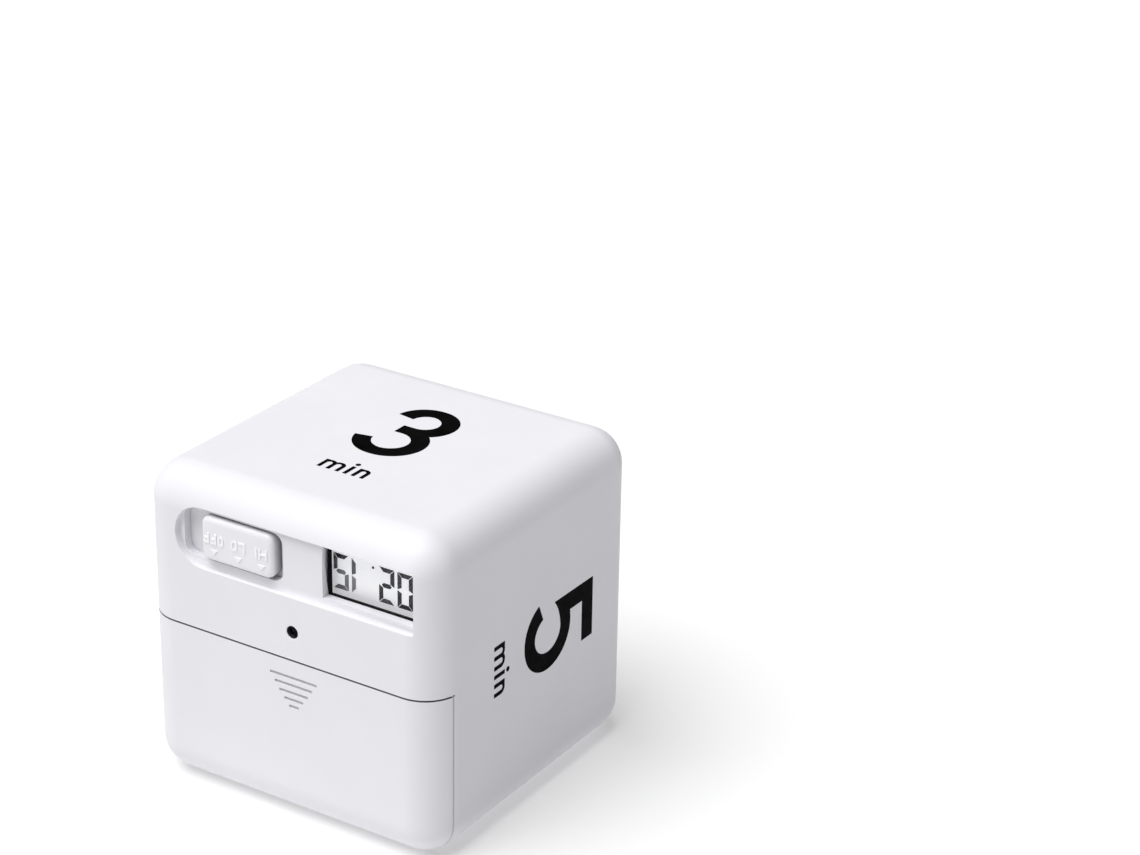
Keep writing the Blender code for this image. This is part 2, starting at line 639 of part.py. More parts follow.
def build():
    mats = {
        "white": material("white_plastic", (0.86, 0.86, 0.88), 0.38),
        "door": material("door_plastic", (0.86, 0.86, 0.88), 0.4),
        "knob": material("knob_plastic", (0.88, 0.88, 0.9), 0.35),
        "black": material("black_plastic", (0.02, 0.02, 0.022), 0.5),
        "clear": material("clear_plastic", (0.9, 0.92, 0.93), 0.05, 0.0, 1.0),
        "lcd": material("display_glass", (0.72, 0.74, 0.73), 0.12, 0.0, 0.6),
        "silver": material("tinned_steel", (0.75, 0.75, 0.74), 0.25, 1.0),
        "rubber": material("contact_rubber", (0.35, 0.33, 0.36), 0.7),
        "foam": material("foam", (0.06, 0.06, 0.06), 0.95),
        "board": material("circuit_board", (0.03, 0.16, 0.07), 0.45),
        "sleeve": material("capacitor_sleeve", (0.03, 0.04, 0.12), 0.4),
        "resistor": material("resistor_body", (0.06, 0.06, 0.06), 0.4),
        "magnet": material("buzzer_core", (0.16, 0.15, 0.15), 0.5, 0.4),
        "brass": material("tilt_ball_metal", (0.78, 0.62, 0.3), 0.25, 1.0),
        "cell": material("cell_sleeve", (0.22, 0.24, 0.27), 0.35, 0.3),
        "nickel": material("nickel_plate", (0.72, 0.7, 0.66), 0.28, 1.0),
        "red": material("red_wire", (0.55, 0.03, 0.03), 0.45),
        "dark": material("black_wire", (0.025, 0.025, 0.025), 0.45),
        "screw": material("zinc_screw", (0.62, 0.62, 0.6), 0.35, 1.0),
    }
    main_housing(mats["white"])
    front_cover(mats["white"])
    battery_door(mats["door"])
    switch_knob(mats["knob"])
    switch_can(mats["silver"])
    switch_base(mats["black"])
    switch_actuator(mats["black"])
    display_parts(mats)
    board_parts(mats)
    buzzer_parts(mats)
    tilt_switch("tilt_left", LEFT_AT, (0, -math.pi / 4, 0), mats, True)
    tilt_switch("tilt_right", RIGHT_AT, (0, math.pi / 4, 0), mats, True)
    tilt_switch("tilt_front", FRONT_AT, (-math.pi / 2, 0, 0), mats, False)
    balls(mats)
    cell("battery_upper", CELL_HIGH, 1, mats["cell"])
    cell("battery_lower", CELL_LOW, -1, mats["cell"])
    contacts(mats)
    spring("spring_bridge", -23.8, -21.35, CELL_HIGH, mats["nickel"])
    spring("spring_negative", 23.8, 21.35, CELL_LOW, mats["nickel"])
    lead("lead_positive", 23.4, 22.4, 41.0, mats["red"])
    lead("lead_negative", 12.3, 19.6, 38.6, mats["dark"])
    screws(mats)


build()
print("parts:", len(parts.objects))
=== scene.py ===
# %% [markdown]
# # A cube timer in white plastic
#
# The object is a pocket timer: a rounded cube that is turned so that the wanted number lies on top.
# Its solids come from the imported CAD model. This lesson gives them their finishes and adds what the
# solids leave out: the printed numbers, the display's segments, the moulded words on the switch,
# the threads of the screws and the copper and solder of the circuit board.

# %% Load the CAD model
import json
import math

import bmesh
import bpy
import numpy as np
from mathutils import Matrix, Vector
from mathutils.geometry import delaunay_2d_cdt

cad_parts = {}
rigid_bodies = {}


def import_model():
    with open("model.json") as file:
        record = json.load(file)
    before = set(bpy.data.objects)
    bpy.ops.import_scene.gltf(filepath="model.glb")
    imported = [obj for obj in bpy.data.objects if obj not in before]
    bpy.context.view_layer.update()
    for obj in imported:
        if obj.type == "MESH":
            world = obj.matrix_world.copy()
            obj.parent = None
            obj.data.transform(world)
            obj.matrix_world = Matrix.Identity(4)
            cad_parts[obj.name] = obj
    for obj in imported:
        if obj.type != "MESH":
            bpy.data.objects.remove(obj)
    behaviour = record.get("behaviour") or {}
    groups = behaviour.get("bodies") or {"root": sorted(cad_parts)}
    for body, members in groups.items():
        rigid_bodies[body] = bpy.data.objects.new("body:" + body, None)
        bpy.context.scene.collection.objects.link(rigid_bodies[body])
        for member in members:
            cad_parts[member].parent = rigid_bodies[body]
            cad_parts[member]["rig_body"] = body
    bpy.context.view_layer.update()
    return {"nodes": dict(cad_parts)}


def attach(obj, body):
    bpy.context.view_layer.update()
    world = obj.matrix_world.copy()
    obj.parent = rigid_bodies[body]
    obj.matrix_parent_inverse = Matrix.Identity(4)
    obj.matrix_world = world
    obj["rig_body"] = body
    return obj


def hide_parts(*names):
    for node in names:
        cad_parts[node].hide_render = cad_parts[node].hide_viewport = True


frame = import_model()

MM = 0.001
nodes = frame["nodes"]

# %% [markdown]
# ## The camera
#
# The camera's place was found by laying a rounded cube over the outline in the photograph. It stands
# half a metre away, right of the control face and above it, and looks past the cube, because the cube
# sits in the lower left of the picture. A long lens keeps the edges nearly parallel.

# %% Camera at the photograph's angle
def look(place, target, roll):
    """Axes of a camera: its back is target to place, and its right is level, then rolled."""
    back = np.subtract(place, target) / np.linalg.norm(np.subtract(place, target))
    level = np.cross((0.0, 0.0, 1.0), back)
    level /= np.linalg.norm(level)
    up = np.cross(back, level)
    c, s = math.cos(roll), math.sin(roll)
    turned = np.column_stack([c * level + s * up, c * up - s * level, back])
    return Matrix(turned.tolist()).to_quaternion()


camera_at = (0.26182, -0.35990, 0.25958)
camera_target = (0.018925, 0.026119, 0.055937)
camera_roll = math.radians(1.053)
camera = bpy.data.objects.new("photo_camera", bpy.data.cameras.new("photo_camera"))
bpy.context.scene.collection.objects.link(camera)
camera.location = camera_at
camera.rotation_mode = "QUATERNION"
camera.rotation_quaternion = look(camera_at, camera_target, camera_roll)
camera.data.sensor_width, camera.data.lens, camera.data.clip_start = 36.0, 92.198, 0.01
bpy.context.scene.camera = camera
print("distance to target, m:", round(math.dist(camera_at, camera_target), 3))

# %% [markdown]
# ## A pale floor and soft light
#
# White plastic shows its form only by small steps of light. The top face gets most of it, the control
# face nearly as much, and the face with the 5 clearly less. One wide soft sun high in front does this,
# because it lights a big floor as evenly as the cube, and the floor then throws light on the sides.
# The sky gives little light, but the camera sees it white, so that every view has a pale backdrop. The
# floor is a light table with a glow of its own, so the shadow on it stays faint. The Standard view
# keeps whites white.

# %% Sun and sky
def put(node, **values):
    """Set the values of a node's sockets by their names, with _ for a space."""
    for socket, value in values.items():
        node.inputs[socket.replace("_", " ")].default_value = value
    return node


bpy.context.scene.view_settings.view_transform = "Standard"
sun_from, centre = (-0.19, -0.335, 0.923), (0.0, 0.0, 0.0)
sun = bpy.data.objects.new("soft_sun", bpy.data.lights.new("soft_sun", "SUN"))
sun.data.energy, sun.data.angle, sun.data.color = 3.5, math.radians(52.0), (1.0, 1.0, 1.0)
sun.rotation_mode = "QUATERNION"
sun.rotation_quaternion = look(sun_from, centre, 0.0)
bpy.context.scene.collection.objects.link(sun)

world = bpy.data.worlds.new("studio")
world.use_nodes = True
sky_tree = world.node_tree
sky = put(sky_tree.nodes["Background"], Color=(0.97, 0.98, 1.0, 1.0), Strength=0.12)
backdrop = put(sky_tree.nodes.new("ShaderNodeBackground"), Color=(1.0, 1.0, 1.0, 1.0))
which_ray = sky_tree.nodes.new("ShaderNodeLightPath")
either = sky_tree.nodes.new("ShaderNodeMixShader")
sky_tree.links.new(which_ray.outputs["Is Camera Ray"], either.inputs["Fac"])
sky_tree.links.new(sky.outputs["Background"], either.inputs[1])
sky_tree.links.new(backdrop.outputs["Background"], either.inputs[2])
sky_tree.links.new(either.outputs["Shader"], sky_tree.nodes["World Output"].inputs["Surface"])
bpy.context.scene.world = world
print("strength of sun and sky:", sun.data.energy, round(sky.inputs["Strength"].default_value, 3))

# %% [markdown]
# The floor is a disc that reaches six metres to every side, so that its edge stays out of sight. It
# lies a hair below the cube's foot, so that two faces never lie in one plane.

# %% Floor
def mesh_object(name, verts, faces, smooth=False):
    """A mesh piece from an array of points and a list or array of faces."""
    mesh = bpy.data.meshes.new(name)
    mesh.from_pydata(np.asarray(verts, float).tolist(), [], [list(map(int, f)) for f in faces])
    mesh.validate()
    if smooth:
        mesh.shade_smooth()
    else:
        mesh.shade_flat()
    item = bpy.data.objects.new(name, mesh)
    bpy.context.scene.collection.objects.link(item)
    return item


def blank(name):
    """A new material, its node tree and its shader."""
    mat = bpy.data.materials.new(name)
    mat.use_nodes = True
    return mat, mat.node_tree, mat.node_tree.nodes["Principled BSDF"]


FLOOR_REACH, FLOOR_DROP, FLOOR_POINTS = 6.0, 0.0002, 96
turn = np.linspace(0.0, 2.0 * np.pi, FLOOR_POINTS, endpoint=False)
rim = np.column_stack([FLOOR_REACH * np.cos(turn), FLOOR_REACH * np.sin(turn),
                       np.full(FLOOR_POINTS, -FLOOR_DROP)])
floor = mesh_object("floor", rim, [range(FLOOR_POINTS)])
floor_paint, _, table = blank("pale_floor")
put(table, Base_Color=(0.62, 0.62, 0.62, 1.0), Roughness=0.9, Emission_Color=(1.0, 1.0, 1.0, 1.0),
    Emission_Strength=0.34)
floor.data.materials.append(floor_paint)
print("floor points:", len(floor.data.vertices))

# %% [markdown]
# ## One recipe for every finish
#
# Moulded plastic, metal and board all need the same three things: a colour that wanders a little, a
# roughness that wanders more, and a fine relief. One function builds this from three noises that read
# Object coordinates, so the pattern stays with the piece. A Mapping node can stretch the pattern along
# one axis, which gives rolled or brushed metal. Numbers that are the same all over go on the shader's
# own sockets.

# %% Material helper
def finish(name, tone, other, rough, spread=0.05, grain=2600.0, relief=0.15, patch=70.0,
           depth=0.00002, stretch=(1.0, 1.0, 1.0), **sockets):
    """A shader whose colour is a mix of two tones by a broad noise, whose roughness is rough plus or
    minus spread by a middling noise, and whose height is a fine noise of the grain's scale."""
    mat, tree, shader = blank(name)
    place = tree.nodes.new("ShaderNodeTexCoord")
    squeeze = put(tree.nodes.new("ShaderNodeMapping"), Scale=stretch)
    tree.links.new(place.outputs["Object"], squeeze.inputs["Vector"])

    def noise(scale, detail):
        node = put(tree.nodes.new("ShaderNodeTexNoise"), Scale=scale, Detail=detail)
        tree.links.new(squeeze.outputs["Vector"], node.inputs["Vector"])
        return node.outputs["Fac"]

    ramp = tree.nodes.new("ShaderNodeValToRGB")
    for element, position, colour in zip(ramp.color_ramp.elements, (0.35, 0.65), (tone, other)):
        element.position, element.color = position, (*colour, 1.0)
    tree.links.new(noise(patch, 3.0), ramp.inputs["Fac"])
    tree.links.new(ramp.outputs["Color"], shader.inputs["Base Color"])
    wander = put(tree.nodes.new("ShaderNodeMapRange"), From_Min=0.3, From_Max=0.7,
                 To_Min=rough - spread, To_Max=rough + spread)
    tree.links.new(noise(patch * 6.0, 4.0), wander.inputs["Value"])
    tree.links.new(wander.outputs["Result"], shader.inputs["Roughness"])
    bump = put(tree.nodes.new("ShaderNodeBump"), Strength=relief, Distance=depth)
    tree.links.new(noise(grain, 2.0), bump.inputs["Height"])
    tree.links.new(bump.outputs["Normal"], shader.inputs["Normal"])
    put(shader, **sockets)
    return mat


def dress(mat, *names):
    """Give the finish to CAD nodes."""
    for one in names:
        slots = nodes[one].data.materials
        if len(slots):
            slots[0] = mat
        else:
            slots.append(mat)


print("finishes so far:", len(bpy.data.materials))

# %% [markdown]
# ## Painting by place
#
# A second colour can go on a piece where its coordinates say so. Math nodes turn an Object coordinate
# into a mask of zeros and ones, and a Mix node lays the second colour over the first where it is one.

# %% Math on Object coordinates
def math_node(tree, kind, *values):
    """A Math node. A value is a number or the output of another node."""
    node = tree.nodes.new("ShaderNodeMath")
    node.operation = kind
    for k, value in enumerate(values):
        if isinstance(value, (int, float)):
            node.inputs[k].default_value = value
        else:
            tree.links.new(value, node.inputs[k])
    return node.outputs["Value"]


def axis_output(tree, axis):
    """The Object coordinate along X, Y or Z, in metres."""
    place = tree.nodes.new("ShaderNodeTexCoord")
    split = tree.nodes.new("ShaderNodeSeparateXYZ")
    tree.links.new(place.outputs["Object"], split.inputs["Vector"])
    return split.outputs[axis]


def paint_over(mat, mask, tone):
    """Lay a second colour over the first where the mask is 1."""
    tree = mat.node_tree
    colour = tree.nodes["Principled BSDF"].inputs["Base Color"]
    below = colour.links[0].from_socket
    mix = tree.nodes.new("ShaderNodeMix")
    mix.data_type = "RGBA"
    tree.links.new(mask, mix.inputs["Factor"])
    tree.links.new(below, mix.inputs[6])
    mix.inputs[7].default_value = (*tone, 1.0)
    tree.links.new(mix.outputs[2], colour)
    return mat


print("helpers for masks:", [one.__name__ for one in (math_node, axis_output, paint_over)])

# %% [markdown]
# A mask suits a band round a battery as well as the dark at the bottom of a gap, where the real light
# can't reach and the soft light of a scene still does. Two kinds are enough: a set of boxes, and a tone
# that grows along one axis.

# %% Two masks
# beyond the object in mm, for a box that has no end on a side
FAR = 99.0


def painted_shade_ramp(mat, axis, unshaded, foot, tone):
    """Painted shade: the tone grows from nothing at one coordinate to full strength at another
    and ends there. The mask is (coordinate - unshaded) / (foot - unshaded), held above zero,
    below the foot."""
    tree = mat.node_tree
    along = axis_output(tree, axis)
    past = math_node(tree, "SUBTRACT", along, unshaded * MM)
    share = math_node(tree, "MAXIMUM", math_node(tree, "DIVIDE", past, (foot - unshaded) * MM), 0.0)
    before = math_node(tree, "LESS_THAN", along, foot * MM)
    return paint_over(mat, math_node(tree, "MULTIPLY", share, before), tone)


def in_boxes(mat, tone, *boxes):
    """Lay the tone wherever the Object coordinates are inside one of the boxes, given by two corners
    in mm. A coordinate is inside where it is within half a side of the box's middle."""
    tree = mat.node_tree
    place = [axis_output(tree, axis) for axis in "XYZ"]
    mask = 0.0
    for low, high in boxes:
        inside = 1.0
        for along, a, b in zip(place, low, high):
            side = math_node(tree, "COMPARE", along, (a + b) / 2 * MM, (b - a) / 2 * MM)
            inside = math_node(tree, "MULTIPLY", side, inside)
        mask = math_node(tree, "MAXIMUM", inside, mask)
    return paint_over(mat, mask, tone)


print("kinds of mask:", [kind.__name__ for kind in (painted_shade_ramp, in_boxes)])

# %% [markdown]
# ## Smooth skins over the solids
#
# The CAD mesh is loose flat triangles, so a rounded edge shows as facets. The rule is to leave that
# mesh alone, so each rounded solid gets a skin: a copy whose doubles are merged, shaded smooth except
# at sharp edges. On a plate with rounded rims, plain smooth shading would also bend the light on the
# flat face, so Weighted Normal lets the large faces decide the direction at their borders. Where one
# solid is really two materials, such as legs in a plastic base, each face of the skin gets its finish
# by place.

# %% Skins
def read(rows, field, width, kind=np.float32):
    """A mesh's numbers as an array, one row for each point, corner or face."""
    flat = np.empty(len(rows) * width, kind)
    rows.foreach_get(field, flat)
    return flat.reshape(-1, width) if width > 1 else flat


def skin(node, name, mats, sharp=30.0, pick=None):
    """A merged and smoothly shaded copy of a CAD node, which it replaces. pick gives the number of
    the finish of each face from the faces' middles in mm."""
    source = nodes[node]
    mesh = source.data.copy()
    mesh.name = name
    item = bpy.data.objects.new(name, mesh)
    bpy.context.scene.collection.objects.link(item)
    shape = bmesh.new()
    shape.from_mesh(mesh)
    bmesh.ops.remove_doubles(shape, verts=shape.verts, dist=0.000002)
    shape.to_mesh(mesh)
    shape.free()
    mesh.shade_smooth()
    mesh.set_sharp_from_angle(angle=math.radians(sharp))
    weigh = item.modifiers.new("large_faces_lead", "WEIGHTED_NORMAL")
    weigh.keep_sharp = True
    mesh.materials.clear()
    for mat in mats if isinstance(mats, list) else [mats]:
        mesh.materials.append(mat)
    if pick:
        middles = read(mesh.polygons, "center", 3)
        mesh.polygons.foreach_set("material_index", np.asarray(pick(*middles.T / MM), np.int32))
    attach(item, source["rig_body"])
    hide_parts(node)
    return item


print("triangles in the solids:", sum(len(item.data.polygons) for item in nodes.values()))

# %% [markdown]
# ## White plastic
#
# The cube is moulded in white ABS with a fine satin texture. It is faintly violet, as bleached white
# plastic is. Its relief is at most two hundredths of a millimetre, so it never shows as bumps, only as
# a highlight that stays soft. Hands polish the edges and corners first, so the roughness falls where
# two or three coordinates are near the cube's sides. The switch knob is the same plastic, and
# smoother. The walls of the door's gap, of the arrow's grooves and of the sound hole get painted
# shade, a darker colour where the light falls short, and the knob's foot gets painted shade too.

# %% Shell and knob finishes
def handled(mat, middle, start, end, amount):
    """Roughness minus amount where at least two distances from the middle lie beyond start, growing
    until end. The three smooth steps are added, and the sum counts from one to two."""
    tree = mat.node_tree
    rough = tree.nodes["Principled BSDF"].inputs["Roughness"]
    total = 0.0
    for axis, centre in zip("XYZ", middle):
        away = math_node(tree, "SUBTRACT", axis_output(tree, axis), centre * MM)
        step = put(tree.nodes.new("ShaderNodeMapRange"), From_Min=start * MM, From_Max=end * MM)
        step.interpolation_type = "SMOOTHSTEP"
        tree.links.new(math_node(tree, "ABSOLUTE", away), step.inputs["Value"])
        total = math_node(tree, "ADD", step.outputs["Result"], total)
    over = math_node(tree, "MAXIMUM", math_node(tree, "SUBTRACT", total, 1.0), 0.0)
    less = math_node(tree, "MULTIPLY", over, amount)
    tree.links.new(math_node(tree, "SUBTRACT", rough.links[0].from_socket, less), rough)
    return mat


# places on the shells in mm: the cube's middle, and each box of painted shade by its lowest and
# highest corner
CUBE_MIDDLE = (0.0, 0.0, 29.0)
DOOR_GAP_SHADE = [((-31, -31, 30.24), (31, -24.3, 30.56)), ((-31, -24.71, -1), (-27.5, -24.39, 30.6)),
             ((27.5, -24.71, -1), (31, -24.39, 30.6)), ((-31, -24.71, -1), (31, -24.39, 2.2))]
GROOVE_SHADE = ((-7, -29.62, 21.2), (7, -29.3, 27.6))
SOUND_HOLE_SHADE = ((0.3, -29.55, 34.3), (2.8, -27.06, 36.9))
shell_white = finish("satin_white_shell", (0.812, 0.804, 0.843), (0.799, 0.791, 0.831), 0.52,
                     grain=3200.0, relief=0.12, Specular_IOR_Level=0.22)
handled(shell_white, CUBE_MIDDLE, start=22.5, end=28.5, amount=0.06)
# painted shade: the door's gaps, the arrow's grooves and the sound hole's wall are coloured darker
in_boxes(shell_white, (0.23, 0.225, 0.24), *DOOR_GAP_SHADE)
in_boxes(shell_white, (0.60, 0.595, 0.62), GROOVE_SHADE)
in_boxes(shell_white, (0.05, 0.05, 0.055), SOUND_HOLE_SHADE)
knob_white = finish("polished_white_knob", (0.83, 0.825, 0.855), (0.815, 0.81, 0.84), 0.34, 0.06,
                    grain=3800.0, relief=0.08, patch=160.0)
# painted shade: the knob's flanks darken towards their foot in the slot, where little light reaches
painted_shade_ramp(knob_white, "Y", unshaded=-29.0, foot=-27.02, tone=(0.12, 0.115, 0.13))
print("nodes in the shell's finish:", len(shell_white.node_tree.nodes))

# %% [markdown]
# ## Exact directions on the rounded cube
#
# The light slides softly round the real cube's edges. A skin of a few facets shows bands there, even
# when it is shaded smooth, because each point's direction is an average of its faces. A rounded box
# has a formula for the true direction, so the skins of the three shells get that instead, wherever a
# corner lies on the box's surface. Panel, slot and window keep the direction that they have.

# %% Skins of the shells
# the cube's faces and the radius of its edges, and the inner box that the edges are measured from
SIDE, FACE_Y, BACK_Y, TOP, EDGE = 30.0, -29.7, 30.0, 58.0, 6.5
CORE_LOW = (EDGE - SIDE, FACE_Y + EDGE, EDGE)
CORE_HIGH = (SIDE - EDGE, BACK_Y - EDGE, TOP - EDGE)


def round_normals(item, low, high, radius):
    """Exact normals for a rounded box. Its surface is the points at the radius from an inner box, so
    the normal at p is p minus the nearest point of that box, which is p held between low and high."""
    mesh = item.data
    item.modifiers.clear()
    plain = read(mesh.corner_normals, "vector", 3)
    facing = np.repeat(read(mesh.polygons, "normal", 3),
                       read(mesh.polygons, "loop_total", 1, np.int32), axis=0)
    corners = read(mesh.loops, "vertex_index", 1, np.int32)
    p = read(mesh.vertices, "co", 3)[corners] / MM
    away = p - np.clip(p, low, high)
    reach = np.linalg.norm(away, axis=1)
    exact = away / np.maximum(reach, 1e-6)[:, None]
    outer = (np.abs(reach - radius) < 0.05) & ((exact * facing).sum(axis=1) > 0.96)
    mesh.normals_split_custom_set(np.where(outer[:, None], exact, plain).tolist())
    print(item.name, "corners with an exact normal:", int(outer.sum()), "of", len(outer))


for node, name in (("main_housing", "housing_skin"), ("front_cover", "cover_skin"),
                   ("battery_door", "door_skin")):
    round_normals(skin(node, name, shell_white, 24.0), CORE_LOW, CORE_HIGH, EDGE)
skin("switch_knob", "knob_skin", knob_white, 24.0)

# %% [markdown]
# ## The welded seam
#
# The front cover is welded to the housing, and the photograph shows no seam there. A thin bead of the
# same plastic fills the gap between the two. Its outline is the cube's section at the seam: straight
# sides and quarter rounds, drawn 0.03 mm below the surface. Four such lines make a bead that is
# square across, and one function closes it, as it later closes the screws, the coil and the solder.

# %% Weld bead
def tube_faces(rings, sides):
    """Quads between neighbouring rings of points, and one face over each end. The faces point
    outwards where the points of a ring run against the clock, seen from the last ring."""
    row, column = np.meshgrid(np.arange(rings - 1) * sides, np.arange(sides), indexing="ij")
    here, beside = row + column, row + (column + 1) % sides
    quads = np.stack([here, beside, beside + sides, here + sides], axis=-1).reshape(-1, 4)
    first, last = list(range(sides)), list(range((rings - 1) * sides, rings * sides))
    return quads.tolist() + [first[::-1], last]


# the seam's plane, and the heights of the door's edge and of one more point on the straight side
SEAM_Y, DOOR_TOP, STRAIGHT_TOP = -24.4, 30.6, 41.0


def bead(depth, count=16):
    """The cube's section in X and Z at the seam, inset by depth, from the right side over the top.
    Where the section cuts the rounded edge, Pythagoras gives the quarter's radius."""
    reach = math.sqrt(EDGE ** 2 - (SEAM_Y - CORE_LOW[1]) ** 2) - depth
    x, _, z = CORE_HIGH
    t = np.radians(np.linspace(0.0, 90.0, count))
    quarter = np.column_stack([x + reach * np.cos(t), z + reach * np.sin(t)])
    right = np.vstack([[(x + reach, DOOR_TOP), (x + reach, STRAIGHT_TOP)], quarter,
                       [(0.0, z + reach)]])
    return np.vstack([right, right[-2::-1] * (-1.0, 1.0)])


outer, inner = bead(0.03), bead(0.9)
sides = [np.column_stack([line[:, 0], np.full(len(line), SEAM_Y + y), line[:, 1]])
         for line, y in ((outer, -0.1), (outer, 0.1), (inner, 0.1), (inner, -0.1))]
verts = np.stack(sides, axis=1).reshape(-1, 3)
weld = mesh_object("seam_weld", verts * MM, tube_faces(len(outer), len(sides)), True)
weld.data.set_sharp_from_angle(angle=math.radians(30.0))
weld.data.materials.append(shell_white)
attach(weld, "housing")
print("weld bead points:", len(verts))

# %% [markdown]
# ## Letters as strokes of a pen
#
# The printed numbers have strokes of nearly even width, so each is drawn the way a sign painter does
# it: a path for the middle of the stroke, and half the pen's width to either side. Level strokes are a
# little thinner than upright ones, or they would look fatter. Where the two edges of a stroke are
# curves of their own, the shape is filled between them.

# %% Pen strokes
def arc(centre, reach, start, stop, count=40):
    """Points of an ellipse: centre plus reach times cosine and sine, from start to stop in degrees."""
    t = np.radians(np.linspace(start, stop, count))
    return np.column_stack([centre[0] + reach[0] * np.cos(t), centre[1] + reach[1] * np.sin(t)])


def curve(a, b, c, d, count=24):
    """A cubic curve: the four points weighed by the powers of t and 1 - t."""
    t = np.linspace(0.0, 1.0, count)[:, None]
    a, b, c, d = map(np.array, (a, b, c, d))
    return (1 - t) ** 3 * a + 3 * (1 - t) ** 2 * t * b + 3 * (1 - t) * t ** 2 * c + t ** 3 * d


def oval(reach, power, count=72):
    """A squarish oval: cosine and sine keep their sign and are raised to two divided by the power."""
    t = np.linspace(0.0, 2.0 * np.pi, count)
    c, s = np.cos(t), np.sin(t)
    return np.column_stack([reach[0] * np.sign(c) * np.abs(c) ** (2 / power),
                            reach[1] * np.sign(s) * np.abs(s) ** (2 / power)])


def bar(x0, y0, x1, y1):
    """A rectangle from its lower left to its upper right corner."""
    return np.array([(x0, y0), (x1, y0), (x1, y1), (x0, y1)])


def between(left, right):
    """Quads between two edges that have the same number of points."""
    return np.stack([right[:-1], right[1:], left[1:], left[:-1]], axis=1)


def stroke(path, upright, level):
    """Quads along a path. The half width is level where the path runs level, and upright where it
    rises: half = level + (upright - level) times the rise of the unit direction."""
    run = np.gradient(path, axis=0)
    run /= np.linalg.norm(run, axis=1)[:, None]
    half = level + (upright - level) * np.abs(run[:, 1])
    side = np.column_stack([-run[:, 1], run[:, 0]]) * half[:, None]
    return between(path + side, path - side)


print("quads in a quarter turn of the pen:", len(stroke(arc((0, 0), (5, 5), 0, 90), 1.0, 0.9)))

# %% [markdown]
# ## The numbers
#
# Each number stands about 21 mm tall and is drawn in mm from its lower left corner. A straight piece
# is a bar or a polygon, and a bowl is an arc.

# %% Digits
def three():
    """Two bowls that share a short middle bar."""
    middle = np.array([[4.7, 11.05], [5.6, 11.05], [6.4, 11.05]])
    upper = np.vstack([arc((7.2, 15.23), (4.35, 4.18), 174.0, -90.0, 60), middle[::-1] + (0.2, 0.0),
                       middle[:1]])
    lower = np.vstack([middle, arc((6.4, 6.26), (5.03, 4.79), 88.0, -171.0, 60)])
    return [*stroke(upper, 1.66, 1.46), *stroke(lower, 1.66, 1.46)]


def five():
    """Top bar, upright stem with a hollow foot, and a ring that is open at the lower left."""
    ring = arc((6.65, 7.0), (5.1, 5.45), 100.0, -158.0, 72)
    stem = [(1.65, 9.05), (2.6, 9.72), (3.6, 10.25), (4.8, 10.65), (6.1, 10.87), (6.1, 12.5),
            (5.55, 13.98), (5.05, 13.89), (5.05, 21.0), (1.75, 21.0)]
    return [*stroke(ring, 1.65, 1.55), np.array(stem), bar(1.75, 17.6, 12.75, 21.0)]


def two():
    """A bowl, a slanted stroke whose two edges are curves of their own, and a base bar."""
    bowl = np.vstack([[(2.25, 14.0)], arc((6.75, 14.9), (4.5, 4.6), 180.0, 0.0, 48)])
    outer = curve((13.0, 14.9), (13.0, 12.3), (11.0, 9.6), (6.6, 3.7))
    inner = curve((9.5, 14.9), (9.5, 13.1), (8.7, 11.3), (0.0, 1.8))
    base = [(0.0, 0.0), (13.3, 0.0), (13.3, 3.7), (6.6, 3.7), (0.0, 1.8)]
    return [*stroke(bowl, 1.75, 1.75), *between(outer, inner), np.array(base)]


def zero():
    """An oval ring with nearly straight sides."""
    middle = np.array([6.6, 10.65])
    return list(between(middle + oval((3.1, 7.15), 2.25), middle + oval((6.6, 10.75), 2.4)))


def moved(shapes, right, up):
    """The same shapes, moved in their plane."""
    return [np.asarray(shape, float) + (right, up) for shape in shapes]


NEXT_DIGIT = 15.6
digits = {"3": three(), "5": five(), "20": two() + moved(zero(), NEXT_DIGIT, 0.0),
          "30": three() + moved(zero(), NEXT_DIGIT, 0.0)}
print("strokes:", {number: len(shapes) for number, shapes in digits.items()})

# %% [markdown]
# The word below each number is small, and its letters are built from two parts: upright stems, and
# shoulders that are half ovals ending in a stem. The letter i has a round dot.

# %% The word min
def small_word():
    """The word min: upright stems, shoulders that are half ovals, and a round dot."""
    pen, level, x_height = 0.38, 0.33, 3.1
    made = []
    for x, width in ((0.0, 1.82), (1.82, 1.82), (6.9, 1.72)):
        shoulder = arc((x + pen + width / 2, 1.95), (width / 2, 0.84), 180.0, 0.0, 24)
        made += list(stroke(np.vstack([shoulder, [(x + pen + width, 0.0)]]), pen, level))
    made += [bar(x - pen, 0.0, x + pen, x_height) for x in (0.38, 5.62, 7.28)]
    made.append(arc((5.62, 4.02), (0.48, 0.48), 0.0, 345.0, 24))
    return made


print("strokes in the word:", len(small_word()))

# %% [markdown]
# ## Flat shapes made solid
#
# Strokes overlap where they meet, and ink on ink would flicker. A constrained triangulation of all
# outlines at once gives every point and crossing one vertex, and it tells which triangles lie inside a
# shape. Those are kept as one flat sheet.

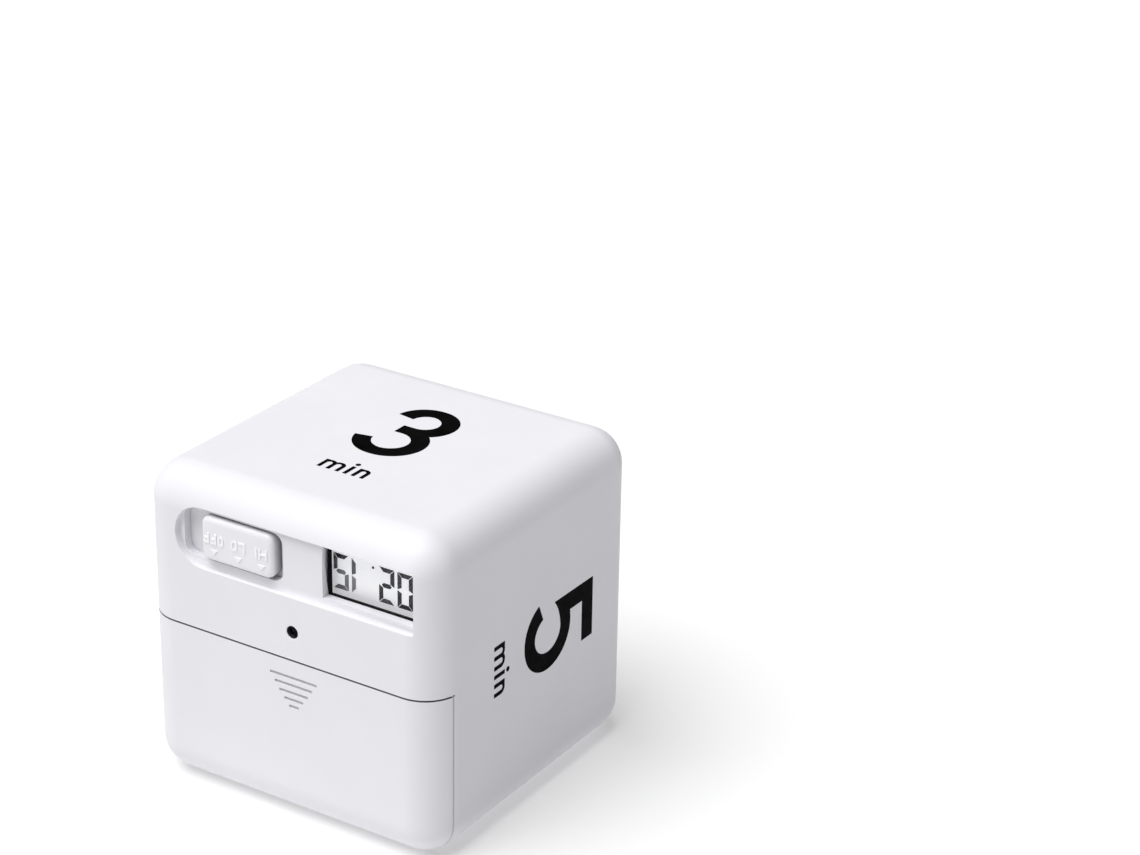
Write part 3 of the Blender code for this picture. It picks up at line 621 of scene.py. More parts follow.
# %% Overlapping shapes to one sheet
def cover(shapes):
    """Points and triangles that cover the shapes. Each shape is first turned counter-clockwise, which
    its signed area tells, and a triangle that lies in no shape is dropped."""
    turned = []
    for shape in shapes:
        x, y = np.asarray(shape, float).T
        twice = np.dot(x, np.roll(y, -1)) - np.dot(y, np.roll(x, -1))
        turned.append(np.asarray(shape, float)[:: 1 if twice > 0 else -1])
    points = [Vector(point) for shape in turned for point in shape]
    ends = np.cumsum([0] + [len(shape) for shape in turned])
    loops = [list(range(a, b)) for a, b in zip(ends[:-1], ends[1:])]
    flat, _, faces, _, _, owners = delaunay_2d_cdt(points, [], loops, 0, 1e-5, True)
    flat = np.array([tuple(point) for point in flat])
    tris = np.array([face for face, owner in zip(faces, owners) if owner])
    a, b, c = flat[tris[:, 0]], flat[tris[:, 1]], flat[tris[:, 2]]
    area = (b[:, 0] - a[:, 0]) * (c[:, 1] - a[:, 1]) - (b[:, 1] - a[:, 1]) * (c[:, 0] - a[:, 0])
    tris[area < 0] = tris[area < 0][:, ::-1]
    tris = tris[np.abs(area) > 1e-9]
    kept = np.unique(tris)
    fresh = np.zeros(len(flat), int)
    fresh[kept] = np.arange(len(kept))
    return flat[kept], fresh[tris]


print("triangles that cover the 3:", len(cover(digits["3"])[1]))

# %% [markdown]
# A copy of the sheet a little lower, and walls round the rim, make it a closed thin solid. The place
# function decides where it lies: on a flat face here, and later wrapped round a cylinder.

# %% Sheets to thin solids
def plate(name, shapes, place, low, high, mat, body):
    """A thin solid with its flat shape at the heights low and high. place(u, v, w) in mm gives the
    3-D points, and the walls stand on each edge that only one triangle uses."""
    flat, tris = cover(shapes)
    count = len(flat)
    steps = np.vstack([tris[:, [0, 1]], tris[:, [1, 2]], tris[:, [2, 0]]])
    there, back = steps[:, 0] * count + steps[:, 1], steps[:, 1] * count + steps[:, 0]
    rim = steps[~np.isin(there, back)]
    walls = np.column_stack([rim[:, 0] + count, rim[:, 1] + count, rim[:, 1], rim[:, 0]])
    verts = np.vstack([place(*flat.T, high), place(*flat.T, low)])
    faces = [*tris.tolist(), *(tris[:, ::-1] + count).tolist(), *walls.tolist()]
    item = mesh_object(name, verts * MM, faces)
    item.data.materials.append(mat)
    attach(item, body)
    return item


def on_face(origin, right, up):
    """A place function for a flat face: origin plus u to the right, v up and w outwards."""
    origin, right, up = map(np.array, (origin, right, up))
    out = np.cross(right, up)
    return lambda u, v, w: origin + np.outer(u, right) + np.outer(v, up) + w * out


top_face = on_face((0, 0, TOP), (1, 0, 0), (0, 1, 0))
print("a point of the top face, mm:", top_face([2.0], [1.0], 0.5).tolist())

# %% [markdown]
# ## Printed numbers
#
# Four faces carry a number with the word min below it, nearer the control face. They are pad printed:
# a film of black ink about two hundredths of a millimetre thick with crisp edges. The ink is a thin
# solid here, so it has an edge that catches light, and its finish has the pinholes of dried ink. It
# starts a little below the surface, so that no gap shows under it.

# %% Prints on four faces
ink = finish("printing_ink", (0.0015, 0.0015, 0.0016), (0.004, 0.004, 0.0042), 0.66, 0.08,
             grain=5200.0, relief=0.08, patch=220.0, Specular_IOR_Level=0.02)
# for each number: its lower left corner, the direction to the right, and the word's place beside it
face_prints = {"3": ((-6.85, -5.55, TOP), (1, 0, 0), (2.15, -8.75)),
               "5": ((SIDE, -4.3, 36.4), (0, 0, -1), (2.3, -8.95)),
               "20": ((14.4, -5.7, 0.0), (-1, 0, 0), (9.8, -9.1)),
               "30": ((-SIDE, -5.7, 14.6), (0, 0, 1), (9.8, -9.1))}
for number, (origin, right, word) in face_prints.items():
    shapes = digits[number] + moved(small_word(), *word)
    made = plate("print_" + number, shapes, on_face(origin, right, (0, 1, 0)), -0.03, 0.015, ink,
                 "housing")
    print(made.name, "triangles:", sum(len(p.vertices) - 2 for p in made.data.polygons))

# %% [markdown]
# ## Words moulded on the switch knob
#
# The knob carries OFF, LO and HI with a small arrowhead under each, raised from its face by the mould
# in the knob's white plastic. Every thumb that pushes it polishes them smoother, and their colour is
# painted lighter than the knob's as a painted highlight. On the table they stand upside down. Each word
# is drawn with a thin pen and turned half round by handing the face's right and up directions over
# with a minus sign.

# %% Knob lettering
def knob_word(word, width, gap=0.34, tall=1.85, pen=0.175):
    """Capitals as straight and round strokes: O is an oval ring, and F, L, H and I are bars. The
    width is shared by the letters that aren't an I, whose own width is the stroke's."""
    thick, narrow = 2 * pen, word.count("I")
    w = (width - gap * (len(word) - 1) - thick * narrow) / (len(word) - narrow)
    made, x, h = [], 0.0, tall
    for letter in word:
        if letter == "O":
            centre = np.array([x + w / 2, h / 2])
            made += list(between(centre + oval((w / 2 - thick, h / 2 - thick), 2.2),
                                 centre + oval((w / 2, h / 2), 2.3)))
        else:
            made.append(bar(x, 0, x + thick, h))
        if letter == "F":
            made += [bar(x, h - thick, x + w, h), bar(x, h / 2 - pen, x + w * 0.86, h / 2 + pen)]
        if letter == "L":
            made.append(bar(x, 0, x + w, thick))
        if letter == "H":
            made += [bar(x, h / 2 - pen, x + w, h / 2 + pen), bar(x + w - thick, 0, x + w, h)]
        x += (thick if letter == "I" else w) + gap
    return moved(made, -width / 2, -tall / 2)


# the lighter colour is a painted highlight, and the lower roughness is the thumbs' polish
lettering_with_painted_highlight = finish("polished_lettering_with_painted_highlight", (0.93, 0.925, 0.95), (0.915, 0.91, 0.935), 0.24,
                      0.04, relief=0.05, patch=160.0)
KNOB_FACE_Y, WORDS_Z = -29.6, 48.0
arrowhead = np.array([(-0.75, 1.9), (0.75, 1.9), (0.0, 2.8)])
# for each word: the X of its middle, and its width
words = {"OFF": (-14.2, 4.1), "LO": (-9.15, 2.9), "HI": (-4.4, 2.4)}
for word, (x, width) in words.items():
    upside_down = on_face((x, KNOB_FACE_Y, WORDS_Z), (-1, 0, 0), (0, 0, -1))
    plate("knob_word_" + word, knob_word(word, width) + [arrowhead], upside_down, -0.03, 0.15,
          lettering_with_painted_highlight, "switch")
print("words on the knob:", list(words))

# %% [markdown]
# ## The display's segments
#
# A liquid crystal display has its segments between two glass plates, so they float over a grey
# reflector. Each segment is a bar with cut corners. Their tones carry a painted reflection: the bars
# under a pale sheen on the window are painted paler, in two steps, so there are three strengths of
# them.

# %% Segments
def bars(width, height, thick, gap):
    """The seven segments of one digit, as polygons with cut corners, lowest left corner at 0, 0."""
    w, h, t, g, m = width, height, thick, gap, height / 2
    mirror = lambda shape: [(w - x, y) for x, y in shape][::-1]
    left = lambda low, high, b, c: [(0, high - g), (t, high - g - t * c), (t, low + g + t * b),
                                    (0, low + g)]
    upper, lower = left(m, h, 0.5, 1.0), left(0, m, 1.0, 0.5)
    return {
        "a": [(w - g, h), (w - g - t, h - t), (g + t, h - t), (g, h)],
        "b": mirror(upper), "c": mirror(lower),
        "d": [(g, 0), (w - g, 0), (w - g - t, t), (g + t, t)],
        "e": lower, "f": upper,
        "g": [(g + t * 0.55, m), (g + t, m - t / 2), (w - g - t, m - t / 2),
              (w - g - t * 0.55, m), (w - g - t, m + t / 2), (g + t, m + t / 2)],
    }


# a digit's width, height, thickness and gap, the Z of its foot, and the middle of the dot
DIGIT, DIGIT_FOOT, DOT, GLASS_Y = (3.0, 6.3, 0.80, 0.07), 43.62, (14.71, 49.3), -25.24
in_the_glass = on_face((0, GLASS_Y, 0), (1, 0, 0), (0, 0, 1))
# the middle and pale tones are a painted reflection: bars under the window's sheen are painted paler
# for each strength: its tone, and the lit segments of the digits by the X of their left sides
strengths = {"dark": ((0.012, 0.012, 0.017), {6.87: "a", 15.88: "abge", 19.48: "abcdef"}),
             "middle": ((0.11, 0.112, 0.123), {10.48: "f", 15.88: "d"}),
             "pale": ((0.30, 0.303, 0.318), {6.87: "fgcd", 10.48: "e"})}
for strength, (tone, lit) in strengths.items():
    shapes = [np.array(bars(*DIGIT)[k]) + (x, DIGIT_FOOT) for x, letters in lit.items()
              for k in letters]
    if strength == "dark":
        shapes.append(arc(DOT, (0.25, 0.25), 0.0, 345.0, 24))
    made = finish("segment_ink_" + strength, tone, tuple(1.15 * c for c in tone), 0.5, grain=6000.0)
    plate("display_bars_" + strength, shapes, in_the_glass, 0.0, 0.03, made, "housing")
    print(strength, "bars:", len(shapes))

# %% [markdown]
# ## Window, glass and film
#
# The window is clear plastic: it shows what is behind it and mirrors a little more at a slant, which a
# Fresnel mix of two shaders gives. The film at the back sends most light straight back out of the deep
# window. A diffuse surface can't, so a faint glow of its own makes up for it.

# %% Window, glass and film
def clear(name, share, rough):
    """Clear plastic or glass: a mix of see-through and glossy. The glossy share follows Fresnel."""
    mat, tree, gloss = blank(name)
    put(gloss, Base_Color=(1.0, 1.0, 1.0, 1.0), Metallic=1.0, Roughness=rough)
    through = put(tree.nodes.new("ShaderNodeBsdfTransparent"), Color=(0.985, 0.985, 0.985, 1.0))
    mix = tree.nodes.new("ShaderNodeMixShader")
    fresnel = put(tree.nodes.new("ShaderNodeFresnel"), IOR=share)
    tree.links.new(fresnel.outputs["Fac"], mix.inputs["Fac"])
    tree.links.new(through.outputs["BSDF"], mix.inputs[1])
    tree.links.new(gloss.outputs["BSDF"], mix.inputs[2])
    tree.links.new(mix.outputs["Shader"], tree.nodes["Material Output"].inputs["Surface"])
    return mat


dress(clear("clear_window", 1.16, 0.04), "lcd_lens")
dress(clear("display_glass", 1.06, 0.03), "lcd_front_glass")
polariser = finish("polariser_film", (0.86, 0.87, 0.875), (0.82, 0.83, 0.835), 0.45, patch=30.0,
                   stretch=(1.0, 1.0, 0.35), Emission_Color=(0.962, 0.957, 1.0, 1.0),
                   Emission_Strength=0.49)
dress(polariser, "lcd_rear_glass")
print("finishes so far:", len(bpy.data.materials))

# %% [markdown]
# ## Metals
#
# The contacts and springs are nickel plated steel, the cans of the switches tin plated, and the
# screws zinc plated with a trace of yellow. Metal takes its colour from its reflection, so the two
# tones differ little and the roughness does more. Rolled sheet is stretched along one axis, which draws
# its grain out.

# %% Metal finishes
def metal(name, tone, other, rough, spread, grain, relief, patch, **more):
    """The recipe for every finish, with the shader's Metallic at one unless it is given."""
    return finish(name, tone, other, rough, spread, grain=grain, relief=relief, patch=patch,
                  **{"Metallic": 1.0, **more})


# two tones, roughness and its spread, and then the grain, relief and patch of the noises
nickel = metal("nickel_plate", (0.60, 0.585, 0.55), (0.67, 0.655, 0.62), 0.30, 0.09, 5200.0, 0.12,
               190.0, stretch=(1.0, 1.0, 0.2))
spring_wire = metal("spring_wire", (0.58, 0.57, 0.545), (0.66, 0.65, 0.62), 0.24, 0.07, 7000.0,
                    0.1, 320.0)
tin = metal("tin_plate", (0.63, 0.63, 0.615), (0.71, 0.71, 0.70), 0.27, 0.08, 4600.0, 0.1, 260.0,
            stretch=(0.3, 1.0, 1.0))
zinc = metal("zinc_plate", (0.60, 0.595, 0.53), (0.66, 0.655, 0.61), 0.34, 0.09, 5600.0, 0.15, 420.0)
solder = metal("solder", (0.66, 0.66, 0.67), (0.73, 0.73, 0.74), 0.22, 0.1, 6200.0, 0.12, 520.0)
brass = metal("gilded_brass", (0.80, 0.60, 0.26), (0.86, 0.67, 0.33), 0.19, 0.06, 6400.0, 0.06,
              380.0)
black_plastic = finish("black_plastic", (0.018, 0.018, 0.020), (0.027, 0.027, 0.030), 0.48, 0.08,
                       grain=4200.0, relief=0.2, patch=180.0)
print("finishes so far:", len(bpy.data.materials))

# %% [markdown]
# ## Round pieces in two finishes
#
# A tilt switch is a can with a ball in it, closed by a black base with two legs. The base is one solid
# in the CAD model, so its legs get their metal by place: a face belongs to a leg where its distance
# along the switch's axis is beyond the base. The same idea gives the cells their metal ends, the
# capacitor its bare top, the small resistors their tinned ends and the board its raw edges.

# %% Tilt switches and their balls
SLANT, BEHIND_BASE = math.sqrt(0.5), -0.32
# for each switch: the foot of its axis, and the axis
tilts = {"left": ((-13.0, -14.7, 43.0), (-SLANT, 0.0, SLANT)),
         "right": ((-6.0, -14.7, 43.0), (SLANT, 0.0, SLANT)),
         "front": ((-18.6, -15.6, 38.8), (0.0, 1.0, 0.0))}
for side, (foot, axis) in tilts.items():
    legs = lambda x, y, z, f=foot, a=axis: (
        (x - f[0]) * a[0] + (y - f[1]) * a[1] + (z - f[2]) * a[2] < BEHIND_BASE)
    skin(f"tilt_{side}_can", f"tilt_{side}_can_skin", tin, 40.0)
    skin(f"tilt_{side}_base", f"tilt_{side}_base_skin", [black_plastic, tin], 40.0, legs)
    skin(f"tilt_{side}_ball", f"tilt_{side}_ball_skin", brass, 60.0)
print("tilt switches:", list(tilts))

# %% [markdown]
# ## Two AAA cells
#
# Each cell has a printed film sleeve, shrunk over its ends, with a pale band near the plus end and a
# plus and a minus sign. The signs are laid round the cell: along its length they stay straight, and
# across it their height is turned into an angle, height divided by the radius.

# %% Cells with their signs
def wrapped(middle, radius):
    """A place function for a cylinder along X: x is u, and v over the radius is the angle from -Y."""
    def place(u, v, w):
        angle = v / radius
        reach = radius + w
        return np.column_stack([u, middle[0] - reach * np.cos(angle),
                                middle[1] + reach * np.sin(angle)])
    return place


sign_ink = finish("sign_ink", (0.62, 0.63, 0.64), (0.56, 0.57, 0.58), 0.4, 0.06, grain=5000.0,
                  relief=0.08, patch=300.0)
# the cells' axis and radius, and the pale band's ends, the metal ends and the signs along X
CELL_Y, CELL_RADIUS, BAND, PLUS_END, MINUS_END = -21.7, 5.15, (15.9, 18.7), 22.55, -20.75
PLUS_X, MINUS_X, SIGN_UP = 13.4, -15.0, 0.6
dash = lambda x, y: list(stroke(np.linspace((-x, -y), (x, y), 13), 0.3, 0.3))
for which, side, z in (("upper", 1, 23.4), ("lower", -1, 12.3)):
    film = finish("cell_film_" + which, (0.030, 0.060, 0.135), (0.036, 0.070, 0.155), 0.27,
                  grain=2400.0, relief=0.06, patch=120.0, Coat_Weight=0.3)
    low, high = sorted(side * x for x in BAND)
    in_boxes(film, (0.50, 0.51, 0.52), ((low, -FAR, -FAR), (high, FAR, FAR)))
    ends = lambda x, y, z, s=side: (s * x > PLUS_END) | (s * x < MINUS_END)
    skin("battery_" + which, "cell_" + which, [film, nickel], 35.0, ends)
    plus = moved(dash(1.1, 0) + dash(0, 1.1), side * PLUS_X, SIGN_UP)
    minus = moved(dash(0, 1.1), side * MINUS_X, SIGN_UP)
    plate("cell_signs_" + which, plus + minus, wrapped((CELL_Y, z), CELL_RADIUS), -0.05, 0.02,
          sign_ink, "housing")
print("cells: sleeves, metal ends and signs")

# %% [markdown]
# ## Contacts, springs and wires
#
# The flat contacts keep their CAD meshes, because bent sheet has flat sides and sharp edges. Springs
# and wires are round, so they get skins. The wires are insulated in soft plastic, red and black.

# %% Contacts, springs and wires
dress(nickel, "contact_bridge", "contact_positive", "contact_negative")
red_wire = finish("red_wire", (0.50, 0.018, 0.020), (0.43, 0.014, 0.016), 0.36, 0.07,
                  grain=3600.0, relief=0.12, patch=150.0)
black_wire = finish("black_wire", (0.016, 0.016, 0.017), (0.024, 0.024, 0.025), 0.38, 0.07,
                    grain=3600.0, relief=0.12, patch=150.0)
for node, mat, sharp in (("spring_bridge", spring_wire, 70.0), ("spring_negative", spring_wire, 70.0),
                         ("lead_positive", red_wire, 60.0), ("lead_negative", black_wire, 60.0)):
    made = skin(node, node + "_skin", mat, sharp)
    print(made.name, "points:", len(made.data.vertices))

# %% [markdown]
# ## Slide switch, buzzer and the small parts of the board
#
# The chip has no case: it is glued to the board and sealed under a drop of black epoxy, as in most
# cheap clocks and timers. Its drop is glossy and a little uneven. The switch has a base of brown
# laminate in a tin can, the capacitor a blue sleeve with a pale stripe, and the buzzer a black case.

# %% Small parts
# the capacitor's pale stripe in X and its bare top in Y
STRIPE, BARE_TOP_Y = (23.1, 23.9), -10.9
# the switch's legs in Y and Z, with half their width, and the transistor's body between its legs in Z
LEGS_Y, LEGS_Z, LEG_HALF = -18.68, 47.75, 0.32
TRANSISTOR_LOW, TRANSISTOR_HIGH = 36.18, 37.62
# the left ends of the resistors in X, by their numbers, and the ends of their bodies from there
RESISTORS = {"1": -3.5, "2": 1.0}
BODY_START, BODY_END = 0.45, 2.75
laminate = finish("brown_laminate", (0.16, 0.085, 0.04), (0.20, 0.11, 0.055), 0.55, 0.08,
                  grain=3000.0, relief=0.25, patch=200.0, stretch=(0.3, 1.0, 1.0))
epoxy = finish("black_epoxy", (0.010, 0.010, 0.011), (0.016, 0.016, 0.017), 0.16, 0.07,
               grain=900.0, relief=0.4, patch=260.0, depth=0.00006)
sleeve = finish("capacitor_sleeve", (0.020, 0.030, 0.095), (0.026, 0.038, 0.115), 0.33, 0.06,
                grain=2600.0, relief=0.08, patch=220.0)
in_boxes(sleeve, (0.52, 0.53, 0.55), ((STRIPE[0], -FAR, -FAR), (STRIPE[1], FAR, FAR)))
aluminium = metal("drawn_aluminium", (0.70, 0.70, 0.71), (0.77, 0.77, 0.78), 0.33, 0.08, 5200.0,
                  0.12, 340.0)
iron = metal("buzzer_iron", (0.13, 0.125, 0.12), (0.17, 0.165, 0.16), 0.45, 0.1, 3800.0, 0.25,
             260.0, Metallic=0.7)
switch_legs = lambda x, y, z: (y > LEGS_Y) & (np.abs(z - LEGS_Z) < LEG_HALF)
transistor_legs = lambda x, y, z: (z < TRANSISTOR_LOW) | (z > TRANSISTOR_HIGH)
for node, mats, sharp, pick in (
        ("switch_can", tin, 30.0, None),
        ("switch_base", [laminate, tin], 30.0, switch_legs),
        ("chip_blob", epoxy, 50.0, None),
        ("crystal", tin, 35.0, None),
        ("capacitor", [sleeve, aluminium], 40.0, lambda x, y, z: y > BARE_TOP_Y),
        ("transistor", [black_plastic, tin], 30.0, transistor_legs)):
    skin(node, node + "_skin", mats, sharp, pick)
for number, start in RESISTORS.items():
    skin("resistor_" + number, "resistor_skin_" + number, [black_plastic, solder], 30.0,
         lambda x, y, z, s=start: (x < s + BODY_START) | (x > s + BODY_END))
for node, mat in (("buzzer_case", black_plastic), ("buzzer_disc", nickel), ("buzzer_base", iron)):
    skin(node, node + "_skin", mat, 35.0)
dress(finish("black_slider", (0.020, 0.020, 0.021), (0.030, 0.030, 0.031), 0.5, 0.08, grain=3600.0,
             relief=0.2), "switch_actuator")

# %% [markdown]
# ## Behind the window
#
# Round the display lies a black edge, and behind it a dull reflector, a strip of foam and the contact
# strip. The strip is silicone rubber with a hundred thin layers, black ones that conduct and dull
# pink ones that don't. A sine of the distance along the strip, taken above or below zero, draws them.

# %% Gasket, reflector, foam and striped rubber
dress(finish("black_gasket", (0.005, 0.005, 0.006), (0.010, 0.010, 0.011), 0.75, 0.06, grain=3000.0,
             relief=0.3, Specular_IOR_Level=0.08), "lcd_gasket")
dress(metal("reflector_back", (0.56, 0.56, 0.55), (0.64, 0.64, 0.63), 0.4, 0.07, 2200.0, 0.1, 70.0,
            Metallic=0.6), "lcd_reflector")
dress(finish("black_foam", (0.022, 0.022, 0.023), (0.045, 0.045, 0.046), 0.92, grain=2400.0,
             relief=0.9, patch=900.0, depth=0.0001), "lcd_foam_strip")
strip = finish("striped_rubber", (0.24, 0.17, 0.175), (0.28, 0.20, 0.20), 0.55, 0.06, grain=3200.0,
               relief=0.15, patch=200.0)
LAYERS = 0.36
tree = strip.node_tree
along = math_node(tree, "MULTIPLY", axis_output(tree, "X"), 2 * math.pi / (LAYERS * MM))
black_layers = math_node(tree, "GREATER_THAN", math_node(tree, "SINE", along), 0.0)
paint_over(strip, black_layers, (0.020, 0.020, 0.022))
dress(strip, "lcd_contact_strip")
print("mm for a black and a pink layer:", LAYERS)

# %% [markdown]
# ## Surfaces carried round an axis
#
# A screw and a drop of solder are surfaces round an axis. Both come from one function. It takes a grid
# of radii and heights, one row for each ring and one column for each angle, and sets every point at
# the axis's foot plus height times the axis plus radius times cosine and sine in the plane across it.

# %% Round surfaces
def round_surface(radius, height, foot, axis):
    """Points and faces of a closed surface: point = foot + h axis + r (cos t u + sin t v)."""
    axis = np.array(axis, float)
    u = np.cross(axis, (0.0, 0.0, 1.0) if abs(axis[2]) < 0.9 else (1.0, 0.0, 0.0))
    u /= np.linalg.norm(u)
    v = np.cross(axis, u)
    t = np.linspace(0.0, 2.0 * np.pi, radius.shape[1], endpoint=False)
    spread = radius[..., None] * (np.cos(t)[:, None] * u + np.sin(t)[:, None] * v)
    points = (np.array(foot) + height[..., None] * axis + spread).reshape(-1, 3)
    return points, tube_faces(*radius.shape)


def joined(name, solids, mat, body, sharp=35.0):
    """One smoothly shaded piece made of several closed solids."""
    starts = np.cumsum([0] + [len(points) for points, _ in solids])
    faces = [[k + start for k in face] for (_, some), start in zip(solids, starts) for face in some]
    item = mesh_object(name, np.vstack([points for points, _ in solids]) * MM, faces, True)
    item.data.set_sharp_from_angle(angle=math.radians(sharp))
    item.data.materials.append(mat)
    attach(item, body)
    return item


print("points in a plain round rod:", len(round_surface(np.ones((2, 20)), np.zeros((2, 20)),
                                                        (0, 0, 0), (0, 0, 1))[0]))

# %% [markdown]
# ## Screws with a thread and a cross
#
# The thread is a helix: at each height and angle the radius is the core plus a ridge, and the ridge
# depends only on height over pitch minus angle over a full turn. The cross is pressed into the head by
# lowering the height where a point lies within the half width of one of its two arms.

# %% Screws
# the thread's pitch and ridge, the shank's growth from the tip, the tip's length, and the cross
PITCH, RIDGE, SHANK, TIP = 0.85, 0.25, 0.59, 1.6
ARM_HALF, ARM_LONG, CROSS_DEEP = 0.2, 1.0, 0.75


def held(value):
    """The value held between zero and one."""
    return np.clip(value, 0.0, 1.0)


def screw(length, wide, tall, around=48):
    """Radii and heights of a self-tapping screw, from its tip over the thread and head to the middle
    of the cross. The head's radius is wide, and its height is tall."""
    t = np.linspace(0.0, 2.0 * np.pi, around, endpoint=False)
    level = lambda *values: [np.full((1, around), value) for value in values]
    h = np.arange(-length, -0.25, 0.075)[:, None]
    taper = held((h + length) / TIP)
    ridge = held(1.0 - np.abs((h / PITCH - t / (2 * np.pi)) % 1.0 - 0.5) / 0.22)
    thread = RIDGE * ridge * held(taper * 1.3) * held((-0.6 - h) / 0.5)
    s = np.linspace(0.0, np.pi / 2, 7)[:, None]
    edge_r, edge_h = wide - 0.42 * (1 - np.cos(s)), (tall - 0.35) + 0.2 * np.sin(s)
    inner = np.linspace(wide - 0.46, 0.02, 26)[:, None]
    x, y = np.abs(inner * np.cos(t)), np.abs(inner * np.sin(t))
    arm = np.maximum(held((ARM_HALF - y) / 0.05) * held((ARM_LONG - x) / 0.12),
                     held((ARM_HALF - x) / 0.05) * held((ARM_LONG - y) / 0.12))
    sink = CROSS_DEEP * arm * (1.0 - 0.35 * inner / wide)
    dome = tall - 0.15 + 0.15 * (1 - (inner / wide) ** 2)
    radius = np.vstack([0.15 + SHANK * taper ** 0.7 + thread, *level(0.8, wide - 0.05, wide, wide),
                        edge_r + 0 * t, inner + 0 * t])
    height = np.vstack([h + 0 * t, *level(-0.1, 0.0, 0.06, tall - 0.4), edge_h + 0 * t, dome - sink])
    return radius, height


# for each pair: the right one's place under its head, its direction in Y, and its sizes
for kind, (x, y, z), out, length, wide, tall in (
        ("cover_screw_", (20.0, -24.25, 4.05), -1, 8.3, 1.58, 1.38),
        ("board_screw_", (22.5, -17.35, 35.2), 1, 5.9, 1.76, 1.28)):
    for side, name in ((-1, kind + "left"), (1, kind + "right")):
        solid = round_surface(*screw(length, wide, tall), (side * x, y, z), (0, out, 0))
        made = joined(name + "_threaded", [solid], zinc, "housing")
        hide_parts(name)
        print(name, "faces:", len(made.data.polygons))

# %% [markdown]
# ## Buzzer coil
#
# The buzzer's coil is enamelled copper wire wound up and down the core in two layers. The path is a
# helix whose radius steps out half way. A ring of points is carried along it: at each step the ring
# stands across the path.

# %% Winding
def carried(path, radius, count=8):
    """Points and faces of a round wire along a path: point = path + r (cos t side + sin t up), with
    side and up across the path's direction."""
    run = np.gradient(path, axis=0)
    run /= np.linalg.norm(run, axis=1)[:, None]
    side = np.cross(run, (0.0, 1.0, 0.0))
    side /= np.linalg.norm(side, axis=1)[:, None]
    up = np.cross(run, side)
    t = np.linspace(0.0, 2.0 * np.pi, count, endpoint=False)[None, :, None]
    points = path[:, None] + radius * (np.cos(t) * side[:, None] + np.sin(t) * up[:, None])
    return points.reshape(-1, 3), tube_faces(len(path), count)


enamel = metal("copper_enamel", (0.52, 0.19, 0.075), (0.60, 0.24, 0.10), 0.26, 0.07, 6000.0, 0.08,
               420.0, Metallic=0.9)
# the number of turns in both layers, and the core's axis and foot
COIL_TURNS, CORE_X, CORE_Z, CORE_FOOT_Y = 24, 1.55, 36.5, -18.75
# the wire's radius, the first layer's and the step to the second, and the winding's foot and height
WIRE, COIL_REACH, LAYER_STEP, COIL_LOW, COIL_TALL = 0.075, 1.26, 0.2, 1.14, 1.9
t = np.linspace(0.0, 1.0, COIL_TURNS * 20 + 1)
layer = held((t - 0.495) / 0.01)
reach = COIL_REACH + LAYER_STEP * layer
climb = COIL_LOW + COIL_TALL * (1.0 - np.abs(2.0 * t - 1.0))
angle = 2.0 * np.pi * COIL_TURNS * t
coil = np.column_stack([CORE_X + reach * np.cos(angle), CORE_FOOT_Y - climb,
                        CORE_Z + reach * np.sin(angle)])
made = joined("buzzer_coil", [carried(coil, WIRE)], enamel, "housing", sharp=70.0)
print("coil turns:", COIL_TURNS, "faces:", len(made.data.polygons))

# %% [markdown]
# ## The circuit board
#
# The board has a green solder mask on both faces and bare glass fibre at its edges. Its copper shows
# as raised lines under the mask. A fan of tracks runs from the chip to a row of small round pads, and
# others run to the legs. The lines are drawn as seen from the front and mirrored onto the rear face.

# %% Board and its tracks
# the board's faces, and how near to one a place still counts as on it
REAR_Y, FRONT_Y, NEAR = -17.4, -18.6, 0.02
mask_green = finish("solder_mask", (0.010, 0.105, 0.040), (0.013, 0.125, 0.050), 0.30, 0.06,
                    grain=2600.0, relief=0.1, patch=110.0)
under_mask = finish("copper_under_mask", (0.030, 0.19, 0.075), (0.036, 0.21, 0.085), 0.30, 0.06,
                    grain=2600.0, relief=0.1, patch=110.0)
raw_board = finish("glass_fibre", (0.46, 0.43, 0.24), (0.54, 0.50, 0.30), 0.62, 0.08,
                   grain=4200.0, relief=0.4, patch=500.0, stretch=(1.0, 0.2, 1.0))
edges = lambda x, y, z: (y > FRONT_Y + NEAR) & (y < REAR_Y - NEAR)
skin("main_board", "board_skin", [mask_green, raw_board], 30.0, edges)


def on_rear(name, shapes, high, mat):
    """Lay flat shapes on the board's rear face, where left and right change places."""
    mirrored = [np.asarray(shape, float) * (-1.0, 1.0) for shape in shapes]
    rear = on_face((0.0, REAR_Y, 0.0), (-1, 0, 0), (0, 0, 1))
    return plate(name, mirrored, rear, -0.02, high, mat, "housing")


